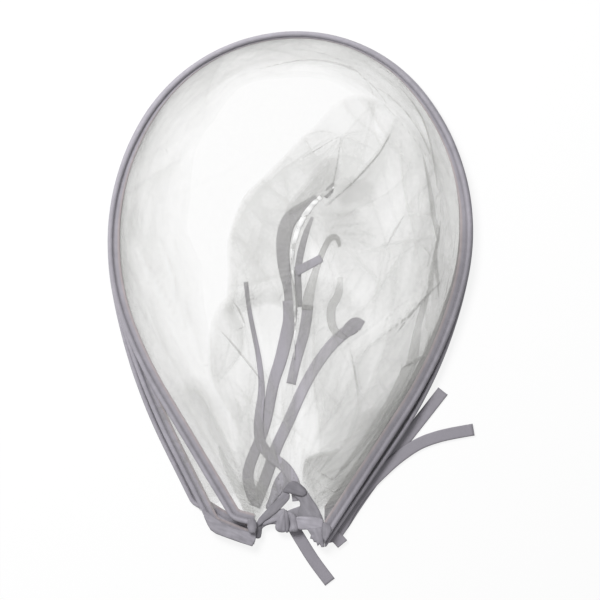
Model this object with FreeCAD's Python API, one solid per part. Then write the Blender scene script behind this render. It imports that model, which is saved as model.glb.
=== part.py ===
import FreeCAD
import Part
import math
import os

# Beekeeping veil, folded flat: three spring hoops in sewn tape casings, net
# panels between them, a gathered collar and the tape ties at the neck.
# X runs across the veil, +Y points to the crown, +Z is up from the surface
# that it lies on. The origin is the middle of the outline, on that surface.

V = FreeCAD.Vector
UP = V(0, 0, 1)

# ---- driving dimensions (mm) ----
CROWN_Y = 257.0          # crown of the hoops above the middle of the outline
CROWN_X = 7.0            # crown of the hoops, slightly to the right
PIVOT_Y = -257.0         # line at the neck that the hoops swing about
LEFT_END_X = -36.0       # where the casings stop, left of the neck
RIGHT_END_X = 34.0       # where the casings stop, right of the neck
LAY_GAP = 0.3            # clearance between pieces that lie on each other

BULGE_WIDTH = 4.6        # the casing's round channel, across
CASING_HEIGHT = 4.6      # the casing's round channel, high
CASING_WIDTH = 11.9      # the whole sewn casing, channel and hem
HEM_THICKNESS = 1.0      # folded tape that holds the edge of the net
HEM_ROLL = 5.5           # how far the hem rolls under at the crown
CHANNEL_BEVEL = 1.1      # the channel's upper edges, drawn round the wire

WIRE_WIDTH = 1.2         # flat spring wire, across the hoop
WIRE_HEIGHT = 2.6        # flat spring wire, standing on its edge
WIRE_PLAY = 0.2          # room round the wire in its channel
WIRE_SETBACK = 5.5       # from the end of a casing to the end of its wire
TIP_WALL = 0.4           # moulded tip round each wire end
TIP_LENGTH = 9.0
TIP_OVERHANG = 2.0       # tip beyond the end of the wire
TIP_PLAY = 0.2           # room round a tip
TIP_FIT = 0.05           # room between the wire and its tip
TIP_BEVEL = 0.35         # nose of a tip

NET_THICKNESS = 0.7
NET_END_Y = -214.0       # the panels' edge above the neck
NECK_Y = -180.0          # above the ends of the casings
GUSSET_END_Y = -205.0    # where a folded gusset has run out to nothing
GUSSET_FOLD = 40.0       # depth of the folded gusset beside the hoops
GUSSET_DROP = 28.0       # how much deeper it is folded at the crown
GUSSET_CREASES = 17      # points where the folded edge changes direction

RIBBON_WIDTH = 12.0
RIBBON_THICKNESS = 0.8
WIDE_RIBBON_WIDTH = 14.0
ARC_SHARE = 0.45         # of the shorter run that a ribbon's bend may take

TAPE_TAB_HEIGHT = 14.0   # corner tabs, through all three casings
TAB_WIDTH = 7.7
KNOT_WIDTH = 13.0
KNOT_LENGTH = 21.0
KNOT_HEIGHT = 9.6
KNOT_WRAP = 5.5          # width of the turns of tape round the knot
KNOT_PROUD = 1.0         # how far the turns stand out of the knot
KNOT_BEVEL = 3.0
WRAP_BEVEL = 1.6
WRAP_ANGLES = (-14, 12)  # degrees that the turns lie across the knot
KNOT_Y = -227.5
TIE_WIDTH = 9.0
TIE_THICKNESS = 3.0

# Each hoop's half outline, from the crown down: (radius, degrees) of its
# tangent arcs, then the straight flank and, on the left, the turn to the neck.
HOOPS = {
    "rear": {
        "layer": 0,
        "crown_drop": 0.0,
        "left": {"arcs": [(182.0, 63.1), (252.0, 36.6), (577.0, 16.7)],
                 "flank": 58.0, "corner": (16.0, 32.0)},
        "right": {"arcs": [(161.0, 49.4), (213.0, 59.3), (559.0, 16.5)]},
    },
    "middle": {
        "layer": 1,
        "crown_drop": 0.0,
        "left": {"arcs": [(181.7, 60.2), (239.4, 43.9), (703.0, 12.6)],
                 "flank": 84.0, "corner": (18.0, 42.3)},
        "right": {"arcs": [(162.0, 51.5), (222.5, 49.6), (449.0, 23.6)]},
    },
    "front": {
        "layer": 2,
        "crown_drop": 1.0,
        "left": {"arcs": [(178.6, 54.6), (233.2, 55.8), (430.0, 10.6)],
                 "flank": 136.0, "corner": (18.0, 44.0)},
        "right": {"arcs": [(158.0, 47.9), (219.0, 57.2), (437.0, 18.0)]},
    },
}
STACK_PITCH = CASING_HEIGHT + LAY_GAP
END_OVERRUN = 12.0       # cutting allowance past the ends of the casings
REACH = 400.0            # size of a cutting block, larger than the veil's half

# ---- heights of what lies between the hoops ----
RIBBON_FLOOR = LAY_GAP
RIBBON_STEP = RIBBON_THICKNESS + LAY_GAP
INNER_FLOOR = RIBBON_FLOOR + RIBBON_STEP
GUSSET_FLOOR = HEM_THICKNESS + LAY_GAP
GUSSET_HEIGHT = STACK_PITCH - GUSSET_FLOOR - LAY_GAP
COLLAR_Z = STACK_PITCH
COLLAR_HEIGHT = 1.0

# ---- routes of the loose tapes, from the end at the neck or the collar ----
RIBBON_EXIT_X = RIGHT_END_X - LAY_GAP    # side of the right corner tab
ROUTES = {
    "neck_tie_tail": [(-3.5, -226.5), (3.5, -239.5), (12, -253.5), (21.4, -268.8),
                      (31, -282), (39.5, -293)],
    "side_tie_upper": [(RIBBON_EXIT_X, -246.3), (43, -246.3), (51.5, -238), (61, -222.5),
                       (72.5, -205.5), (84.5, -189), (97.5, -171.5), (110.5, -155.5),
                       (123.5, -139), (138.5, -120), (152.5, -102)],
    "side_tie_lower": [(RIBBON_EXIT_X, -248), (43, -248), (51, -238.5), (58.5, -222.5),
                       (69.5, -206.5), (81.5, -192.5), (94.5, -180), (105, -170.5),
                       (117, -161.5), (130, -153.5), (147, -147.5), (165, -143.5),
                       (183, -140.5)],
    "side_tie_short": [(RIBBON_EXIT_X, -245), (40.3, -245), (46.6, -248.2), (52, -254.8)],
    "inner_tie_left": [(-44.5, 7), (-42.5, -14), (-37.5, -40), (-32.5, -63), (-29.5, -84),
                       (-28.5, -103), (-31, -121), (-32.5, -140), (-29.5, -156),
                       (-19.5, -168), (-6.5, -176), (2, -188), (6, -200), (7.5, -211.5)],
    "inner_tie_wide": [(-1, -11.5), (0.5, -28), (-4.5, -49), (-9.5, -71), (-17, -92),
                       (-20.5, -113), (-24, -131), (-30.5, -151), (-38.5, -169),
                       (-43, -184), (-41.5, -198), (-36.5, -210.5)],
    "inner_tie_short": [(17.5, -16), (15.5, -36), (10.5, -56), (4.5, -76), (0.5, -95)],
    "inner_tie_diagonal": [(60.5, -39), (48.5, -48), (36.5, -61), (24.5, -78), (14.5, -96),
                           (5.5, -115), (-3, -135), (-13.5, -156), (-20.5, -177),
                           (-28, -198), (-36, -217.5)],
}
RIBBON_LEVEL = {
    "neck_tie_tail": RIBBON_FLOOR,
    "side_tie_upper": RIBBON_FLOOR,
    "side_tie_lower": RIBBON_FLOOR + RIBBON_STEP,
    "side_tie_short": RIBBON_FLOOR + 2 * RIBBON_STEP,
    "inner_tie_diagonal": INNER_FLOOR,
    "inner_tie_short": INNER_FLOOR,
    "inner_tie_wide": INNER_FLOOR + RIBBON_STEP,
    "inner_tie_left": INNER_FLOOR + 2 * RIBBON_STEP,
}

# Outline of the collar, which is tucked in between the hoops and gathered.
COLLAR_OUTLINE = [(-66, -1), (-22, 100), (40, 186), (104, 176), (138, 96), (144, 0),
                  (108, -92), (52, -190), (18, -208), (-4, -190), (-14, -100), (-40, -30)]
BAND_OUTLINE = [(60, 112), (30, 98), (8, 72), (-9, 40), (-11, 6), (-1, -10), (10, 3),
                (31, 12), (33, 27), (21, 36), (22, 56), (37, 80)]
BAND_SLIT = [(13, 60), (3, 38), (3, 16), (10, 22), (12, 42)]
BAND_HEIGHT = 2.6

# Outlines of the tapes at the neck: the binding's arch over the knot and the
# folded tapes beside the ends of the casings.
BINDING_OUTLINE = [(-27.6, -221), (-15, -205), (-5, -196.6), (3, -194.2), (10, -198),
                   (18.6, -203.6), (29.8, -219.2), (22.2, -224.8), (11.6, -210.2), (2.6, -203.8),
                   (-3, -206.4), (-9, -212.8), (-20.4, -227)]
LEFT_TAB_X = LEFT_END_X + LAY_GAP
RIGHT_TAB_X = RIGHT_END_X - LAY_GAP
LEFT_TAB = [(LEFT_TAB_X, PIVOT_Y + 1), (LEFT_TAB_X + TAB_WIDTH, PIVOT_Y + 4),
            (LEFT_TAB_X + TAB_WIDTH, -228), (LEFT_TAB_X, -222)]
RIGHT_TAB = [(RIGHT_TAB_X, PIVOT_Y), (RIGHT_TAB_X - 5, PIVOT_Y + 1.5), (19, -246.5),
             (13, -240), (14, -233), (RIGHT_TAB_X, -232)]
KNOT_SIDE = KNOT_WIDTH / 2 + KNOT_PROUD + LAY_GAP
TIE_START_GAP = 4 * LAY_GAP              # the left tie's slanted end clears its tab
TIE_END_GAP = 0.7                        # the ties' slanted ends clear the knot
LEFT_RUN = [(LEFT_TAB_X + TAB_WIDTH + TIE_START_GAP, -236), (-18, -234),
            (-KNOT_SIDE - TIE_END_GAP, -230.5)]
RIGHT_RUN = [(KNOT_SIDE + TIE_END_GAP, -228), (10.3, -228.3), (12.7, -229.3)]


def layer_z(hoop):
    return HOOPS[hoop]["layer"] * STACK_PITCH


# ---- outlines ----

def side_edges(hoop, side, inset, end_x, shift_y, z, cornered=True):
    """Edges of one half of a hoop's outline, from the crown to the line x = end_x."""
    name = "left" if side < 0 else "right"
    half = HOOPS[hoop][name]
    point = V(CROWN_X, CROWN_Y - HOOPS[hoop]["crown_drop"] - inset + shift_y, z)
    heading = 0.0
    turns = list(half["arcs"])
    if "corner" in half and cornered:
        turns += [("flank", half["flank"]), half["corner"]]
    edges = []
    for radius, amount in turns:
        if radius == "flank":
            target = point + V(side * math.cos(heading), -math.sin(heading), 0) * amount
            edges.append(Part.LineSegment(point, target).toShape())
        else:
            r = radius - inset
            after = heading + math.radians(amount)
            middle = arc_point(point, heading, (heading + after) / 2, r, side)
            target = arc_point(point, heading, after, r, side)
            edges.append(Part.Arc(point, middle, target).toShape())
            heading = after
        point = target
    run = (end_x - point.x) / (side * math.cos(heading))
    target = point + V(side * math.cos(heading), -math.sin(heading), 0) * run
    edges.append(Part.LineSegment(point, target).toShape())
    return edges


def arc_point(start, heading, turned, radius, side):
    dx = side * radius * (math.sin(turned) - math.sin(heading))
    dy = radius * (math.cos(heading) - math.cos(turned))
    return start + V(dx, -dy, 0)


def hoop_line(hoop, inset, z, overrun=0.0, shift_y=0.0, cornered=True):
    """The open outline of a hoop, moved inwards by inset."""
    left = side_edges(hoop, -1, inset, LEFT_END_X + overrun, shift_y, z, cornered)
    right = side_edges(hoop, 1, inset, RIGHT_END_X - overrun, shift_y, z, cornered)
    return Part.Wire(list(reversed(right)) + left)


def line_ends(wire):
    points = [v.Point for v in wire.OrderedVertexes]
    return points[0], points[-1]


def closed_face(wire):
    first, last = line_ends(wire)
    return Part.Face(Part.Wire(wire.Edges + [Part.LineSegment(last, first).toShape()]))


def band_face(outer, inner):
    """The strip between two open lines that end on the same two planes."""
    outer_ends = line_ends(outer)
    inner_ends = line_ends(inner)
    caps = [Part.LineSegment(a, b).toShape() for a, b in zip(outer_ends, inner_ends)]
    edges = outer.Edges + inner.Edges + caps
    return Part.Face(Part.Wire(Part.__sortEdges__(edges)))


def above(shape, y):
    """Keeps what lies above the line y."""
    cutter = Part.makeBox(2 * REACH, REACH, REACH, V(-REACH, y - REACH, -REACH / 2))
    return shape.cut(cutter)


def trim_ends(shape):
    """Stops a casing at its two ends and at the pivot line."""
    gap = RIGHT_END_X - LEFT_END_X
    neck = Part.makeBox(gap, REACH, REACH, V(LEFT_END_X, NECK_Y - REACH, -REACH / 2))
    return above(shape.cut(neck), PIVOT_Y)


# ---- hoops ----

def channel_profile(start, z):
    """Cross-section of the wire channel: flat below, bevelled round the wire above."""
    top = z + CASING_HEIGHT
    b = CHANNEL_BEVEL
    w = BULGE_WIDTH
    outline = [(0, z), (w, z), (w, top - b), (w - b, top), (b, top), (0, top - b), (0, z)]
    return Part.makePolygon([start + V(0, -inset, height - z) for inset, height in outline])


def wire_profile(play):
    """Cross-section of the flat spring wire, with room round it."""
    def profile(start, z):
        w = WIRE_WIDTH / 2 + play
        h = WIRE_HEIGHT / 2 + play
        centre = start + V(0, -BULGE_WIDTH / 2, 0)
        corners = [(-w, -h), (w, -h), (w, h), (-w, h), (-w, -h)]
        return Part.makePolygon([centre + V(0, y, up) for y, up in corners])
    return profile


def swept_half(hoop, side, inset, z, make_profile, end_x):
    """Sweeps a section along one half of a hoop, from its crown."""
    spine = Part.Wire(side_edges(hoop, side, inset, end_x, 0.0, z))
    start = V(CROWN_X, CROWN_Y - HOOPS[hoop]["crown_drop"], z)
    return spine.makePipeShell([make_profile(start, z)], True, False)


def swept_hoop(hoop, inset, z, make_profile, left_x, right_x):
    left = swept_half(hoop, -1, inset, z, make_profile, left_x)
    right = swept_half(hoop, 1, inset, z, make_profile, right_x)
    return left.fuse(right).removeSplitter()


def wire_ends(hoop):
    """End point and outward direction of the wire at its left and right end."""
    ends = []
    for side, end_x in ((-1, LEFT_END_X), (1, RIGHT_END_X)):
        stop_x = end_x + side * WIRE_SETBACK
        z = layer_z(hoop) + CASING_HEIGHT / 2
        last = side_edges(hoop, side, BULGE_WIDTH / 2, stop_x, 0.0, z)[-1]
        a, b = [v.Point for v in last.Vertexes]
        tip = b if abs(b.x - stop_x) < 1e-6 else a
        other = a if tip is b else b
        ends.append((tip, (tip - other).normalize()))
    return ends


def spring_wire(hoop, play=0.0, extra=0.0):
    left_x = LEFT_END_X - WIRE_SETBACK + extra
    right_x = RIGHT_END_X + WIRE_SETBACK - extra
    z = layer_z(hoop) + CASING_HEIGHT / 2
    return swept_hoop(hoop, BULGE_WIDTH / 2, z, wire_profile(play), left_x, right_x)


def bar(end, direction, back, ahead, margin):
    """Block along the end of a wire, larger than the wire by margin on each side."""
    half = WIRE_WIDTH / 2 + margin
    height = WIRE_HEIGHT + 2 * margin
    across = V(-direction.y, direction.x, 0) * half
    down = UP * (height / 2)
    corners = [end - direction * back - across, end + direction * ahead - across,
               end + direction * ahead + across, end - direction * back + across]
    base = Part.Face(Part.makePolygon([c - down for c in corners + corners[:1]]))
    return base.extrude(UP * height)


def tip_pockets(hoop):
    """Room for the tips inside the ends of a casing."""
    margin = TIP_FIT + TIP_WALL + TIP_PLAY
    back = TIP_LENGTH - TIP_OVERHANG + TIP_PLAY
    ahead = TIP_OVERHANG + TIP_PLAY
    return [bar(end, direction, back, ahead, margin) for end, direction in wire_ends(hoop)]


def wire_tips(hoop):
    """Moulded tips that keep the wire ends from piercing the tape."""
    back = TIP_LENGTH - TIP_OVERHANG
    tips = []
    for end, direction in wire_ends(hoop):
        body = bar(end, direction, back, TIP_OVERHANG, TIP_FIT + TIP_WALL)
        nose_x = (end + direction * TIP_OVERHANG).dot(direction)
        nose = [e for e in body.Edges if all(abs(v.Point.dot(direction) - nose_x) < 1e-6
                                             for v in e.Vertexes)]
        body = body.makeChamfer(TIP_BEVEL, nose)
        tips.append(body.cut(bar(end, direction, back + 1, TIP_FIT, TIP_FIT)))
    return Part.makeCompound(tips)


def casing(hoop):
    """Sewn tape casing: a channel for the wire and a flat hem inside it."""
    z = layer_z(hoop)
    channel = swept_hoop(hoop, 0.0, z, channel_profile,
                         LEFT_END_X + END_OVERRUN, RIGHT_END_X - END_OVERRUN)
    outer = hoop_line(hoop, BULGE_WIDTH - HEM_THICKNESS, z, END_OVERRUN)
    inner = hoop_line(hoop, CASING_WIDTH, z, END_OVERRUN, HEM_ROLL)
    hem = band_face(outer, inner).extrude(UP * HEM_THICKNESS)
    body = trim_ends(channel.fuse(hem).removeSplitter())
    body = body.cut(spring_wire(hoop, WIRE_PLAY, LAY_GAP))
    for pocket in tip_pockets(hoop):
        body = body.cut(pocket)
    return body


# ---- net ----

def panel(hoop, z):
    """Flat net panel inside a hoop's hem."""
    edge = hoop_line(hoop, CASING_WIDTH + LAY_GAP, z, 0.0, HEM_ROLL)
    return above(closed_face(edge).extrude(UP * NET_THICKNESS), NET_END_Y)


def gusset(hoop, z, height):
    """Strip of net between two hoops, folded inwards where it lies flat."""
    outer = hoop_line(hoop, BULGE_WIDTH + LAY_GAP, z)
    fold = hoop_line(hoop, GUSSET_FOLD, z, 0.0, -GUSSET_DROP, cornered=False)
    creases = [(p.x, p.y) for p in fold.discretize(GUSSET_CREASES)]
    ring = closed_face(outer).extrude(UP * height)
    ring = ring.cut(plate(creases, z, height))
    return above(ring, GUSSET_END_Y)


def plate(points, z, thickness):
    outline = [V(x, y, z) for x, y in points]
    return Part.Face(Part.makePolygon(outline + outline[:1])).extrude(UP * thickness)


# ---- tapes ----

def rounded_path(points, z, name=""):
    """Straight runs joined by tangent arcs; prints the radii of a named path."""
    spots = [V(x, y, z) for x, y in points]
    edges = []
    radii = []
    last = spots[0]
    for before, corner, after in zip(spots, spots[1:], spots[2:]):
        back = before - corner
        ahead = after - corner
        turn = math.pi - back.getAngle(ahead)
        trim = ARC_SHARE * min(back.Length, ahead.Length)
        radius = trim / math.tan(turn / 2)
        back.normalize()
        ahead.normalize()
        start = corner + back * trim
        stop = corner + ahead * trim
        bulge = corner.distanceToPoint(start + (stop - start) * 0.5)
        sagitta = radius * (1 - math.cos(turn / 2))
        middle = start + (stop - start) * 0.5
        middle = middle + (corner - middle) * (sagitta / bulge)
        edges.append(Part.LineSegment(last, start).toShape())
        edges.append(Part.Arc(start, middle, stop).toShape())
        last = stop
        radii.append(round(radius, 1))
    edges.append(Part.LineSegment(last, spots[-1]).toShape())
    if name:
        print(name, "bend radii", radii)
    return Part.Wire(edges)


def flat_strip(points, z, width, thickness, name=""):
    """Flat tape that lies on its route, from z up."""
    path = rounded_path(points, z, name)
    first = V(points[0][0], points[0][1], z)
    along = V(points[1][0], points[1][1], z) - first
    across = V(-along.y, along.x, 0).normalize() * (width / 2)
    corners = [first - across, first + across]
    corners += [first + across + UP * thickness, first - across + UP * thickness]
    section = Part.makePolygon(corners + [corners[0]])
    strip = path.makePipeShell([section], True, False)
    if name:
        print(name, "length %.1f" % path.Length, "volume ratio %.4f"
              % (strip.Volume / (width * thickness * path.Length)))
    return strip


def block(x, y, z, size, bevel):
    box = Part.makeBox(size[0], size[1], size[2], V(x, y, z))
    return box.makeChamfer(bevel, box.Edges)


def knot():
    """Overhand knot of the neck tie: a bundled core with turns of tape round it."""
    x = -KNOT_WIDTH / 2
    low = RIBBON_FLOOR + RIBBON_STEP
    core = block(x, KNOT_Y - KNOT_LENGTH / 2, low, (KNOT_WIDTH, KNOT_LENGTH, KNOT_HEIGHT),
                 KNOT_BEVEL)
    centre = V(0, KNOT_Y, low + KNOT_HEIGHT / 2)
    for angle in WRAP_ANGLES:
        size = (KNOT_WIDTH + 2 * KNOT_PROUD, KNOT_WRAP, KNOT_HEIGHT + KNOT_PROUD)
        turn = block(-size[0] / 2, KNOT_Y - size[1] / 2, low, size, WRAP_BEVEL)
        turn.rotate(centre, UP, angle)
        turn.translate(V(0, math.copysign(KNOT_LENGTH / 5, angle), 0))
        core = core.fuse(turn)
    return core


def corner_tab(points):
    """Folded tape at a corner of the neck, beside the ends of the three casings."""
    return plate(points, LAY_GAP, TAPE_TAB_HEIGHT - LAY_GAP)


def parts():
    """Every node of the veil by name."""
    nodes = {}
    for hoop in HOOPS:
        nodes[hoop + "_hoop_casing"] = casing(hoop)
        nodes[hoop + "_hoop_wire"] = spring_wire(hoop)
        nodes[hoop + "_wire_tips"] = wire_tips(hoop)

    nodes["back_net"] = panel("rear", LAY_GAP)
    nodes["face_net"] = panel("front", layer_z("front"))
    nodes["rear_gusset_net"] = gusset("rear", GUSSET_FLOOR, GUSSET_HEIGHT)
    nodes["front_gusset_net"] = gusset("middle", STACK_PITCH + GUSSET_FLOOR, GUSSET_HEIGHT)
    nodes["collar_net"] = plate(COLLAR_OUTLINE, COLLAR_Z, COLLAR_HEIGHT)
    band = plate(BAND_OUTLINE, INNER_FLOOR, BAND_HEIGHT)
    nodes["drawstring_channel"] = band.cut(plate(BAND_SLIT, INNER_FLOOR, BAND_HEIGHT))

    nodes["left_corner_tab"] = corner_tab(LEFT_TAB)
    nodes["right_corner_tab"] = corner_tab(RIGHT_TAB)
    tie_z = RIBBON_FLOOR + 2 * RIBBON_STEP
    nodes["neck_tie_left"] = flat_strip(LEFT_RUN, tie_z, TIE_WIDTH, TIE_THICKNESS)
    nodes["neck_tie_right"] = flat_strip(RIGHT_RUN, tie_z, TIE_WIDTH, TIE_THICKNESS)
    nodes["neck_tie_knot"] = knot()
    binding_z = STACK_PITCH + GUSSET_FLOOR
    nodes["neck_binding"] = plate(BINDING_OUTLINE, binding_z, TIE_THICKNESS)

    for name, route in ROUTES.items():
        width = WIDE_RIBBON_WIDTH if name == "inner_tie_wide" else RIBBON_WIDTH
        nodes[name] = flat_strip(route, RIBBON_LEVEL[name], width, RIBBON_THICKNESS, name)
    return nodes


os.makedirs("parts", exist_ok=True)
for node, shape in parts().items():
    shape.exportStep("parts/" + node + ".step")
    box = shape.BoundBox
    print("%-22s solids %d valid %s  x %.1f..%.1f  y %.1f..%.1f  z %.1f..%.1f" % (
        node, len(shape.Solids), shape.isValid(), box.XMin, box.XMax, box.YMin, box.YMax,
        box.ZMin, box.ZMax))
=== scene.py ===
import math
import random

import bmesh
import bpy
import numpy as np
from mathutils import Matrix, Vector, noise
from mathutils.geometry import delaunay_2d_cdt


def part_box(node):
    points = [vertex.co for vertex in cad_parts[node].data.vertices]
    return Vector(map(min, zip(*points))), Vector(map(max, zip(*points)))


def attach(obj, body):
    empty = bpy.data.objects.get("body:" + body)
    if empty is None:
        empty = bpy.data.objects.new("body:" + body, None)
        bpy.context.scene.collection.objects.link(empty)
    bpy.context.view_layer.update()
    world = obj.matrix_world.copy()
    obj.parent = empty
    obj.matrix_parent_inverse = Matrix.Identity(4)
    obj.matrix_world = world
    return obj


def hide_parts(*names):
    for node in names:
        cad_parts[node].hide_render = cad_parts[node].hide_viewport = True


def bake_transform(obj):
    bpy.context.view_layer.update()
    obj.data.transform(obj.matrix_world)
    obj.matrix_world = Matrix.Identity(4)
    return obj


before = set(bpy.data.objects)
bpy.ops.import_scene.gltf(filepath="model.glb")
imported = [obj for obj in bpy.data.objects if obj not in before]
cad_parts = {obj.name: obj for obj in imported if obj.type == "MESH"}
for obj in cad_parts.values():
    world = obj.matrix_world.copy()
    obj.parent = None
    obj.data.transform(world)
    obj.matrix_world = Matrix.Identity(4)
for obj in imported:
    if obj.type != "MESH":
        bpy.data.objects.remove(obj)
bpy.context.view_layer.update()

# Beekeeping veil, folded flat. Sizes and places below are in millimetres;
# they become metres where a mesh is made.
MM = 0.001
ROOT, MIDDLE, FRONT = "root", "middle_hoop", "front_hoop"
COLLECTION = bpy.context.collection


def node_low(node):
    """Height of a CAD node's underside."""
    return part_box(node)[0][2] / MM


def node_high(node):
    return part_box(node)[1][2] / MM


# ------------------------------------------------------------ camera, light, floor

VIEW_CENTRE = (9.5, -11.0)
VIEW_HEIGHT = 2200.0
VIEW_FIELD = 600.0
SENSOR = 36.0
KEY_PLACE = (-750.0, 950.0, 1500.0)
KEY_POWER = 35.0
WORLD_LEVEL = 0.42
FLOOR_DEPTH = 0.4
FLOOR_REACH = 120.0      # metres to each side
FLOOR_SHADOW = 0.16      # share of the floor's white that shadows can take


def make_camera():
    data = bpy.data.cameras.new("camera")
    data.sensor_width = SENSOR
    data.lens = SENSOR * VIEW_HEIGHT / VIEW_FIELD
    camera = bpy.data.objects.new("camera", data)
    camera.location = (VIEW_CENTRE[0] * MM, VIEW_CENTRE[1] * MM, VIEW_HEIGHT * MM)
    COLLECTION.objects.link(camera)
    bpy.context.scene.camera = camera


def make_light():
    data = bpy.data.lights.new("key", "AREA")
    data.shape = "DISK"
    data.size = 0.9
    data.energy = KEY_POWER
    key = bpy.data.objects.new("key", data)
    key.location = [c * MM for c in KEY_PLACE]
    key.rotation_euler = (Vector((0, 0, 0)) - key.location).to_track_quat("-Z", "Y").to_euler()
    COLLECTION.objects.link(key)
    world = bpy.data.worlds.new("studio")
    world.use_nodes = True
    world.node_tree.nodes["Background"].inputs["Color"].default_value = (1, 1, 1, 1)
    world.node_tree.nodes["Background"].inputs["Strength"].default_value = WORLD_LEVEL
    bpy.context.scene.world = world


def make_floor():
    """White floor: mostly a glow to the camera and to reflections, over a matt surface."""
    mesh = bpy.data.meshes.new("floor")
    reach = FLOOR_REACH
    z = -FLOOR_DEPTH * MM
    corners = [(-reach, -reach, z), (reach, -reach, z), (reach, reach, z), (-reach, reach, z)]
    mesh.from_pydata(corners, [], [(0, 1, 2, 3)])
    floor = bpy.data.objects.new("floor", mesh)
    COLLECTION.objects.link(floor)
    material = bpy.data.materials.new("floor_white")
    material.use_nodes = True
    tree = material.node_tree
    tree.nodes.clear()
    out = tree.nodes.new("ShaderNodeOutputMaterial")
    mix = tree.nodes.new("ShaderNodeMixShader")
    glow = tree.nodes.new("ShaderNodeEmission")
    glow.inputs["Color"].default_value = (1, 1, 1, 1)
    glow.inputs["Strength"].default_value = 1.0
    matt = tree.nodes.new("ShaderNodeBsdfDiffuse")
    matt.inputs["Color"].default_value = (0.93, 0.93, 0.93, 1)
    path = tree.nodes.new("ShaderNodeLightPath")
    seen = math_node(tree, "MAXIMUM", path.outputs["Is Camera Ray"], path.outputs["Is Glossy Ray"])
    seen = math_node(tree, "MAXIMUM", seen, path.outputs["Is Transmission Ray"])
    link = tree.links.new
    link(math_node(tree, "MULTIPLY", seen, 1 - FLOOR_SHADOW), mix.inputs["Fac"])
    link(matt.outputs[0], mix.inputs[1])
    link(glow.outputs[0], mix.inputs[2])
    link(mix.outputs[0], out.inputs["Surface"])
    mesh.materials.append(material)


# ------------------------------------------------------------ shader groups and materials

def new_group(name, inputs, outputs):
    """An empty shader group with float sockets, its own input and output nodes."""
    group = bpy.data.node_groups.new(name, "ShaderNodeTree")
    for socket, kind, value in inputs:
        made = group.interface.new_socket(socket, in_out="INPUT", socket_type=kind)
        if value is not None:
            made.default_value = value
    for socket in outputs:
        group.interface.new_socket(socket, in_out="OUTPUT", socket_type="NodeSocketFloat")
    return group, group.nodes.new("NodeGroupInput"), group.nodes.new("NodeGroupOutput")


def math_node(tree, operation, a, b=None, clamp=False):
    """A math node whose inputs are sockets or plain numbers; returns its output."""
    node = tree.nodes.new("ShaderNodeMath")
    node.operation = operation
    node.use_clamp = clamp
    for i, value in enumerate((a, b)):
        if value is None:
            continue
        if isinstance(value, (int, float)):
            node.inputs[i].default_value = value
        else:
            tree.links.new(value, node.inputs[i])
    return node.outputs[0]


def make_weave_group():
    """Plain weave along a piece's own map: thread height from 0 to 1."""
    group, given, result = new_group("weave", [
        ("Vector", "NodeSocketVector", None),
        ("Threads", "NodeSocketFloat", 1500.0),
        ("Slant", "NodeSocketFloat", 0.0)], ["Height"])
    split = group.nodes.new("ShaderNodeSeparateXYZ")
    group.links.new(given.outputs["Vector"], split.inputs[0])
    slanted = math_node(group, "MULTIPLY", split.outputs["Y"], given.outputs["Slant"])
    along = math_node(group, "ADD", split.outputs["X"], slanted)
    across = math_node(group, "SUBTRACT", split.outputs["Y"],
                       math_node(group, "MULTIPLY", split.outputs["X"], given.outputs["Slant"]))
    warp = math_node(group, "SINE", math_node(group, "MULTIPLY", along, given.outputs["Threads"]))
    weft = math_node(group, "SINE", math_node(group, "MULTIPLY", across, given.outputs["Threads"]))
    crossed = math_node(group, "MULTIPLY", warp, weft)
    height = math_node(group, "MULTIPLY_ADD", crossed, 0.5)
    height.node.inputs[2].default_value = 0.5
    group.links.new(height, result.inputs["Height"])
    return group


def make_mottle_group():
    """Soft unevenness of dyed cloth, around 1."""
    group, given, result = new_group("mottle", [
        ("Vector", "NodeSocketVector", None),
        ("Scale", "NodeSocketFloat", 60.0),
        ("Amount", "NodeSocketFloat", 0.12)], ["Shade"])
    cloud = group.nodes.new("ShaderNodeTexNoise")
    cloud.inputs["Detail"].default_value = 4.0
    group.links.new(given.outputs["Vector"], cloud.inputs["Vector"])
    group.links.new(given.outputs["Scale"], cloud.inputs["Scale"])
    centred = math_node(group, "SUBTRACT", cloud.outputs["Fac"], 0.5)
    spread = math_node(group, "MULTIPLY", centred, given.outputs["Amount"])
    group.links.new(math_node(group, "ADD", spread, 1.0), result.inputs["Shade"])
    return group


WEAVE = make_weave_group()
MOTTLE = make_mottle_group()


def place_group(tree, group, **values):
    node = tree.nodes.new("ShaderNodeGroup")
    node.node_tree = group
    for key, value in values.items():
        node.inputs[key].default_value = value
    return node


def tinted(tree, colour, shade):
    """A colour multiplied by a shade socket."""
    mix = tree.nodes.new("ShaderNodeVectorMath")
    mix.operation = "SCALE"
    mix.inputs[0].default_value = colour
    tree.links.new(shade, mix.inputs["Scale"])
    return mix.outputs[0]


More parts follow.
